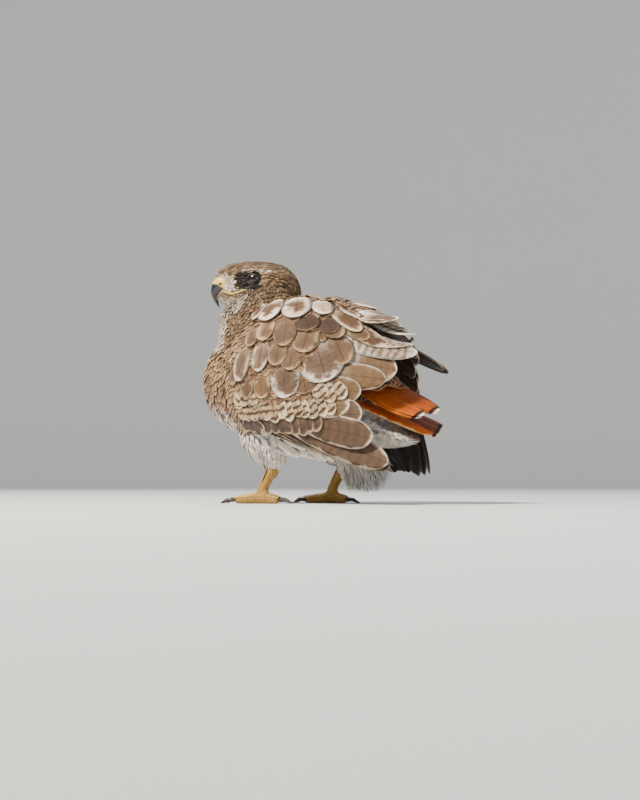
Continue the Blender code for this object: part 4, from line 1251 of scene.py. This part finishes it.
# Scutes: horny plates across the front of each shank and the top of each toe, each a little over the
# next. They are grown by a node tree that bends a plate and sets one on every mark of a line.
FOOT_SPREAD = 0.050               # half the way between the two feet
STEP = 0.013                      # how far the left foot is before the middle, and the right one behind
SHIFT = Vector((0.03565, 0.00226, -0.0009))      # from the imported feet's own lines to where they stand
SHANK_PLATES = 12
PLATE_STEP = 0.0029
FIRST_TOE_PLATE = 3
TOE_RADIUS = 0.0052
TOES = ((34, 0.030), (2, 0.043), (-32, 0.033), (176, 0.024))     # heading in degrees, length
TOE_SHARES = (0, 0.3, 0.55, 0.8, 1.0)
TOE_HEIGHTS = (0.0095, 0.0078, 0.0062, 0.0060, 0.0054)
TOE_GIRTHS = (1.25, 1.08, 1.16, 0.98, 0.80)
PLATE_SIZES = {"Plate length": 0.0034, "Plate thickness": 0.10, "Half arc": 1.2, "Unevenness": 0.08}

# Scute horn is waxy, a little glossy and mottled, in broad patches of deep and paler yellow.
scute_horn, tree, place = material("waxy_yellow_scute_horn", Roughness=0.42, Specular_IOR_Level=0.5)
fine = add(tree, "ShaderNodeTexNoise", place, Scale=420.0, Detail=4.0)
broad = add(tree, "ShaderNodeTexNoise", place, Scale=120.0, Detail=1.0)
deep = painted(linear("97702A"), fine, linear("C49F4C"))
pale = painted(linear("B48B3D"), fine, linear("D6B56C"))
surface(tree, painted(deep, broad, pale), fine, 0.35, 0.0003)


def scute_tree():
    """A node tree that sets bent plates on points. Their attributes give the way along, the way out,
    and the radius they bend round."""
    made = bpy.data.node_groups.new("scutes", "GeometryNodeTree")
    face = made.interface
    face.new_socket("Geometry", in_out="INPUT", socket_type="NodeSocketGeometry")
    names = {title: face.new_socket(title, in_out="INPUT", socket_type="NodeSocketFloat").identifier
             for title in PLATE_SIZES}
    face.new_socket("Geometry", in_out="OUTPUT", socket_type="NodeSocketGeometry")
    into = add(made, "NodeGroupInput")
    plate = add(made, "GeometryNodeMeshCube", (1, 2, 1), 3, 9, 2)
    x, y, z = add(made, "ShaderNodeSeparateXYZ", add(made, "GeometryNodeInputPosition"))
    angle = y * into["Half arc"]
    out = 1.03 - (x + 0.5) * 0.08 + z * into["Plate thickness"]
    bow = x - y * y * 0.25
    bent = add(made, "ShaderNodeCombineXYZ", bow, angle.sum("SINE") * out, angle.sum("COSINE") * out)
    plate = add(made, "GeometryNodeSetPosition", plate, Position=bent)
    along, out_way, radius = (
        add(made, "GeometryNodeInputNamedAttribute", title, data_type=kind)
        for title, kind in (("along", "FLOAT_VECTOR"), ("outward", "FLOAT_VECTOR"), ("bend", "FLOAT")))
    turn = add(made, "FunctionNodeAxesToRotation", along, out_way, primary_axis="X", secondary_axis="Z")
    chance = add(made, "FunctionNodeRandomValue", 1.0 - into["Unevenness"], into["Unevenness"] + 1.0,
                 Seed=5, data_type="FLOAT")
    size = add(made, "ShaderNodeCombineXYZ", into["Plate length"] * chance, radius, radius)
    points = add(made, "GeometryNodeMeshToPoints", into["Geometry"])
    set_out = add(made, "GeometryNodeInstanceOnPoints", points, Instance=plate, Rotation=turn, Scale=size)
    real = add(made, "GeometryNodeRealizeInstances", set_out)
    smooth = add(made, "GeometryNodeSetShadeSmooth", real)
    coated = add(made, "GeometryNodeSetMaterial", smooth, Material=scute_horn)
    add(made, "NodeGroupOutput", coated)
    return made, names


marks = []                        # place, way along, way out, radius
for side in (1, -1):
    ankle = Vector((STEP * side - 0.018, FOOT_SPREAD * side, 0.046)) + SHIFT
    sole = Vector((STEP * side + 0.002, FOOT_SPREAD * side, 0.012)) + SHIFT
    top, bottom = ankle + Vector((0.005, 0, 0.000)), sole + Vector((-0.001, 0, 0.007))
    for k in range(SHANK_PLATES):
        t = k / (SHANK_PLATES - 1)
        marks.append((*top.lerp(bottom, t), *(top - bottom).normalized(), 1, 0, 0.2, 0.0052 + 0.0010 * t))
    for heading, length in TOES:
        turn = math.radians(heading) * -side
        way = Vector((math.cos(turn), math.sin(turn), 0))
        for k in range(FIRST_TOE_PLATE, FIRST_TOE_PLATE + round(length / PLATE_STEP)):
            reach = k * PLATE_STEP
            if reach > length + 0.001:
                break
            t = min(reach / length, 1.0)
            height = np.interp(t, TOE_SHARES, TOE_HEIGHTS)
            spot = Vector((sole.x, sole.y, SHIFT.z + height)) + way * reach
            marks.append((*spot, *-way, 0, 0, 1, TOE_RADIUS * np.interp(t, TOE_SHARES, TOE_GIRTHS)))
marks = np.array(marks)
scutes = mesh_object("scutes", marks[:, :3], [])
marked(scutes.data, "along", "FLOAT_VECTOR", marks[:, 3:6])
marked(scutes.data, "outward", "FLOAT_VECTOR", marks[:, 6:9])
marked(scutes.data, "bend", "FLOAT", marks[:, 9])
grow = scutes.modifiers.new("scutes", "NODES")
grow.node_group, sockets = scute_tree()
for title, value in PLATE_SIZES.items():
    grow[sockets[title]] = value
grown = bpy.data.meshes.new_from_object(scutes.evaluated_get(bpy.context.evaluated_depsgraph_get()))
scutes.modifiers.clear()
scutes.data = grown
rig.ride(scutes, "root")
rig.slot(scutes, "yellow_skin")

# Bill: a deep hooked upper half and a short lower half, both horn over bone: blue-grey at the root
# and black at the hook, with polished sides. Its lines are read from the side, in millimetres in the
# head's frame, from the root to the tip: forward and up, and half the width.
RIDGE = ((31, 11), (38.3, 9.8), (43.8, 5.6), (47.4, -0.6), (48.4, -7.6), (47.0, -14.6), (43.6, -21.4),
         (39.0, -27.8))
EDGE = ((26, -8), (30, -8.8), (33.5, -10), (36.6, -12.0), (38.6, -15.2), (39.2, -19), (38.6, -23.6),
        (37.9, -28.2))
HALF_WIDTH = (10.5, 10.2, 9.3, 7.9, 6.2, 4.5, 2.8, 0.5)
LOWER_RIDGE = ((24, -10.5), (28, -11.2), (32, -12.6), (35.5, -14.8), (37.6, -17.6))
LOWER_EDGE = ((24, -19.5), (28, -20), (31.5, -20.4), (34.6, -20.6), (37.0, -20.0))
LOWER_HALF_WIDTH = (9.4, 8.8, 7.4, 5.2, 1.6)
FULLNESS = 0.72                   # below 1 the sides are fuller than an oval's


def curve_through(values, t):
    """Reads a smooth curve through rows of numbers, t from 0 to 1."""
    rows = np.array(values, float)
    if rows.ndim == 1:
        rows = rows[:, None]
    last = len(rows) - 1
    place = np.clip(np.asarray(t, float) * last, 0, last - 1e-9)
    k = place.astype(int)
    f = (place - k)[..., None]
    p0, p1, p2, p3 = (rows[np.clip(k + d, 0, last)] for d in (-1, 0, 1, 2))
    bend, swing = 2 * p0 - 5 * p1 + 4 * p2 - p3, 3 * p1 - p0 - 3 * p2 + p3
    return 0.5 * (2 * p1 + (p2 - p0) * f + bend * f * f + swing * f ** 3)


def bill_rings(ridge, edge, half_width, t, fullness, puff=0.0):
    """Rows of points round the bill from its ridge to its edge and back, in the head's frame. puff
    stands them off the horn, in millimetres."""
    around = 2 * np.pi * np.arange(t.shape[1]) / t.shape[1]
    share = (1 - np.cos(around)) / 2
    across = np.sign(np.sin(around)) * np.abs(np.sin(around)) ** fullness
    at = curve_through(ridge, t) * (1 - share)[:, None] + curve_through(edge, t) * share[:, None]
    wide = curve_through(half_width, t)[..., 0] + puff
    return np.stack([at[..., 0] + puff * (1 - share), wide * across,
                     at[..., 1] + puff * (1 - 1.4 * share)], -1) / 1000


def outward(mesh, merged=0.0):
    """Turns a closed mesh's faces to point outwards, after points nearer than merged are joined."""
    held = bmesh.new()
    held.from_mesh(mesh)
    if merged:
        bmesh.ops.remove_doubles(held, verts=held.verts, dist=merged)
    bmesh.ops.recalc_face_normals(held, faces=held.faces)
    held.to_mesh(mesh)
    held.free()


# Bill horn: grown in layers and worn smooth, so it shines softly. It darkens from its root to its tip.
bill_horn, tree, place = material("polished_bill_horn", Roughness=0.26, Coat_Weight=0.25, Coat_Roughness=0.2)
growth = add(tree, "ShaderNodeTexNoise", place, Scale=260.0, Detail=3.0)
gone = add(tree, "ShaderNodeAttribute", attribute_name="along")["Fac"] + (growth - 0.5) * 0.25
dark = add(tree, "ShaderNodeMapRange", gone, 0.22, 0.62, 0.0, 1.0)
surface(tree, painted(linear("2C3138"), dark, linear("0C0C10")), growth, 0.15, 0.0003)
for name, node, lines, rows, ring, fullness in (
        ("upper_bill", "bill_upper", (RIDGE, EDGE, HALF_WIDTH), 36, 28, FULLNESS),
        ("lower_bill", "bill_lower", (LOWER_RIDGE, LOWER_EDGE, LOWER_HALF_WIDTH), 20, 24, 0.8)):
    t = np.repeat(np.linspace(0, 1, rows)[:, None], ring, 1)
    rings = from_head(bill_rings(*lines, t, fullness).reshape(-1, 3))
    horn = mesh_object(name, rings, ring_faces(rows, ring))
    outward(horn.data)
    marked(horn.data, "along", "FLOAT", t)
    finished(horn, bill_horn, "horn", node)

# Cere: the waxy yellow skin over the bill's root, with a nostril on each side. It ends in a slanting
# rounded rim. From its lower corner a yellow fold, the gape, runs back under the eye.
CERE_TOP_END = 0.40               # where its rim lies along the bill's ridge, and along its edge
CERE_LOW_END = 0.10
CERE_ROWS, CERE_RING = 40, 72
CERE_PUFF = 0.55                  # how far it stands off the horn, in millimetres
RIM_SHARE = 0.16                  # the share of its length in which the rim rounds off
NOSTRIL_AT = (0.0352, 0.0000)
NOSTRIL_REACH = (0.0021, 0.0014)
NOSTRIL_DEPTH = 0.0016
share = (1 - np.cos(2 * np.pi * np.arange(CERE_RING) / CERE_RING)) / 2
run = np.linspace(0, 1, CERE_ROWS)[:, None]
t = run * (CERE_TOP_END + (CERE_LOW_END - CERE_TOP_END) * share)
puff = CERE_PUFF * np.sqrt(np.clip((1 - run) / RIM_SHARE, 0, 1)) - 0.12
local = bill_rings(RIDGE, EDGE, HALF_WIDTH, t, FULLNESS, puff)
pit = np.hypot((local[..., 0] - NOSTRIL_AT[0]) / NOSTRIL_REACH[0],
               (local[..., 2] - NOSTRIL_AT[1]) / NOSTRIL_REACH[1])
pit = (1 - step_up(pit, 0.55, 1.25)) * (np.abs(local[..., 1]) > 0.004)
local[..., 1] -= np.sign(local[..., 1]) * pit * NOSTRIL_DEPTH
cere = mesh_object("cere", from_head(local.reshape(-1, 3)), ring_faces(CERE_ROWS, CERE_RING))
outward(cere.data)
marked(cere.data, "pit", "FLOAT", pit)

# Cere skin: bare, waxy and faintly translucent, with fine pores and an uneven yellow. The nostril pits are painted
# near black, painted shade inside the nostrils.
wax, tree, place = material("waxy_yellow_cere", Roughness=0.42, Specular_IOR_Level=0.45,
                            Subsurface_Weight=0.12, Subsurface_Radius=(0.002, 0.0012, 0.0005))
pores = add(tree, "ShaderNodeTexNoise", place, Scale=700.0, Detail=3.0)
tint = add(tree, "ShaderNodeTexNoise", place, Scale=150.0, Detail=1.0)
nostril_painted_shade = add(tree, "ShaderNodeAttribute", attribute_name="pit")["Fac"]
yellow = painted(linear("C6AA2A"), tint, linear("E2D058"))
surface(tree, painted(yellow, nostril_painted_shade, linear("2A2118")), pores, 0.4, 0.0002)
finished(cere, wax, "yellow_skin")

GAPE = ((32.5, 8.4, -8.2), (28.5, 10.5, -9.0), (22, 14, -10.4), (14, 20, -11.8), (5, 26, -12.8),
        (-5, 29, -13.6))
GAPE_ROWS, GAPE_RING = 30, 10
GAPE_HALF_WIDTH = 0.00095
GAPE_HALF_HEIGHT = 0.0008
FREE_ROWS = 6                     # the first ones run free of the head's form, from the cere


def joined(shells):
    """Several closed shells as the points and faces of one mesh."""
    points, faces = [], []
    for more, sides in shells:
        faces += [tuple(v + len(points) for v in face) for face in sides]
        points += list(more)
    return points, faces


folds = []
for side in (1, -1):
    line = from_head(curve_through(GAPE, np.linspace(0, 1, GAPE_ROWS)) / 1000 * (1, side, 1))
    ups = np.empty_like(line)
    for i, place in enumerate(line):
        hit, normal, _, _ = form_tree.find_nearest(place)
        if i >= FREE_ROWS:
            line[i] = np.array(hit + normal * 0.0004)
        ups[i] = normal
    line[1:-1] = (line[:-2] + 2 * line[1:-1] + line[2:]) / 4
    taper = np.sqrt(np.clip(np.sin(np.pi * np.linspace(0.10, 0.985, GAPE_ROWS)), 0, 1))[:, None, None]
    along = np.gradient(line, axis=0)
    along /= np.linalg.norm(along, axis=1, keepdims=True)
    flat = np.cross(along, ups)
    flat /= np.linalg.norm(flat, axis=1, keepdims=True)
    a = (2 * np.pi * np.arange(GAPE_RING) / GAPE_RING)[:, None]
    fold = line[:, None] + taper * (flat[:, None] * np.cos(a) * GAPE_HALF_WIDTH
                                    + np.cross(flat, along)[:, None] * np.sin(a) * GAPE_HALF_HEIGHT)
    folds.append((fold.reshape(-1, 3), ring_faces(GAPE_ROWS, GAPE_RING)))
gape = mesh_object("gape", *joined(folds))
outward(gape.data)
finished(gape, wax, "yellow_skin")

# Eyes: dark brown iris, round black pupil and a clear bulging front, each held by two lids. They lie
# half hidden under the brow, as in the live bird.
EYE_RADIUS = 0.0100
CORNEA = 0.0007                   # how far the front bulges
EYE_ROWS, EYE_RING = 28, 40
# Wet glass-clear front over a dark iris. Millimetres from the middle give the pupil and the iris' rim.
eye_glass, tree, _ = material("wet_dark_brown_eye", Roughness=0.06, Coat_Weight=0.4, Coat_Roughness=0.02,
                              Specular_IOR_Level=0.4)
off_axis, about, _ = add(tree, "ShaderNodeSeparateXYZ",
                         add(tree, "ShaderNodeAttribute", attribute_name="ring")["Vector"])
rays = add(tree, "ShaderNodeTexNoise", add(tree, "ShaderNodeCombineXYZ", about * 14.0, off_axis * 0.5),
           Scale=1.0, Detail=3.0)
iris = painted(linear("120905"), rays, linear("2E190C"))
iris = painted(linear("0C0705"), fade(off_axis, 5.0, 6.2), iris)
surface(tree, painted(iris, fade(off_axis, 3.3, 3.6), linear("050505")))
tilt = np.pi * np.linspace(0, 1, EYE_ROWS)
about = 2 * np.pi * np.arange(EYE_RING) / EYE_RING
far = EYE_RADIUS + CORNEA * np.exp(-(tilt / 0.5) ** 2)
off, front = (far * np.sin(tilt))[:, None], (far * np.cos(tilt))[:, None]
ball = np.stack([off * np.cos(about), front + 0 * about, off * np.sin(about)], -1).reshape(-1, 3)
ring_marks = np.stack([np.repeat(far * tilt * 1000, EYE_RING),
                       np.tile(np.minimum(about, 2 * np.pi - about), EYE_ROWS), np.zeros(len(ball))], -1)
for side, word in ((1, "left"), (-1, "right")):
    local = ball * (1, side, 1) + np.array(EYE_AT) * (1, side, 1)
    eye = mesh_object("eye_" + word + "_ball", from_head(local), ring_faces(EYE_ROWS, EYE_RING, "open"))
    marked(eye.data, "ring", "FLOAT_VECTOR", ring_marks)
    outward(eye.data, merged=1e-5)
    finished(eye, eye_glass, "eye", "eye_" + word)

# Lids: two soft folds round each eye, the inner one thin and dark. The upper one slopes to the bill.
# The skin is matt and finely wrinkled, near black: its own dark grey-brown with painted shade from the brow over it.
LID_HALF_LENGTH = 0.0076
LID_ABOVE = 0.0054
LID_BELOW = 0.0060
LID_ROWS, LID_RING = 60, 8
lid_skin_in_brow_shade = grained("soft_grey_brown_eyelid", 900.0, 2.0, "14100D", "30271F", 0.5, 0.0002, Roughness=0.5)
about = 2 * np.pi * np.arange(LID_ROWS) / LID_ROWS
a = (2 * np.pi * np.arange(LID_RING) / LID_RING)[:, None]
folds = []
for side in (1, -1):
    middle = np.array(EYE_AT) * (1, side, 1)
    for reach, fat, proud in ((1.0, 0.0005, 0.0002), (1.15, 0.0008, 0.0)):
        x = LID_HALF_LENGTH * reach * np.cos(about)
        tall = np.where(np.sin(about) > 0, LID_ABOVE, LID_BELOW) * reach
        z = tall * np.sin(about) + 0.06 * x
        y = np.sqrt((EYE_RADIUS + proud) ** 2 - x ** 2 - z ** 2) + 0.0003
        loop = np.stack([x, y * side, z], -1) + middle
        out = (loop - middle) / np.linalg.norm(loop - middle, axis=1, keepdims=True)
        flat = np.cross(np.roll(loop, -1, 0) - np.roll(loop, 1, 0), out)
        flat /= np.linalg.norm(flat, axis=1, keepdims=True)
        fold = loop[:, None] + fat * (out[:, None] * np.sin(a) + flat[:, None] * np.cos(a))
        folds.append((from_head(fold.reshape(-1, 3)), ring_faces(LID_ROWS, LID_RING, "joined")))
lids = mesh_object("eyelids", *joined(folds))
outward(lids.data)
finished(lids, lid_skin_in_brow_shade, "brown_feathers")

# Bristles: fine white hair-like feathers from the lores, swept forward over the cere.
BRISTLES = 120
BRISTLE_LENGTH = 0.0090
BRISTLE_HALF_WIDTH = 0.00036
roots, _ = scattered(40000)
local = in_head(roots)
in_lores = (local[:, 0] > 0.0240) & (local[:, 0] < 0.0340) & (local[:, 2] > -0.0040) & (local[:, 2] < 0.0090)
in_lores &= np.linalg.norm(local, axis=1) < 0.05
roots, local = roots[in_lores][:BRISTLES], local[in_lores][:BRISTLES]
sweep = np.stack([np.full(len(local), 1.0), 0.25 * np.sign(local[:, 1]), 0.35 + 40 * local[:, 2]], -1)
sweep = from_head(sweep) - np.array(HEAD_AT) + 0.18 * luck.normal(size=local.shape)
lengths = BRISTLE_LENGTH * np.exp(0.25 * luck.normal(size=len(local)))
lines, ups = laid_lines(roots, sweep, lengths, [s for s, _ in POINTED], stiff=0.6)
bristles = vanes("lores_bristles", lines, ups, lengths, np.full(len(local), BRISTLE_HALF_WIDTH),
                 looks_of(np.full(len(local), marking_names.index("pale"))), POINTED, (-1, 0, 1),
                 sink=0.0008, lift=0.0022, camber=0.1, thickness=0.0002)
finished(bristles, contour_keratin, "white_feathers")

# Claws: the imported ones keep their shape and get black horn with a fine grain of a paler grey.
claw_horn = grained("black_claw_horn", 320.0, 4.0, "121214", "3A3833", 0.2, 0.0003,
                    Roughness=0.3, Coat_Weight=0.2)
for name, node in frame["nodes"].items():
    if name.startswith("claw"):
        for held_slot in node.material_slots:
            held_slot.material = claw_horn

with open("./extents.json", "w") as sizes:
    low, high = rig.bounds()
    json.dump({"cad": [list(cad_box[0]), list(cad_box[1])], "visual": [list(low), list(high)]}, sizes)
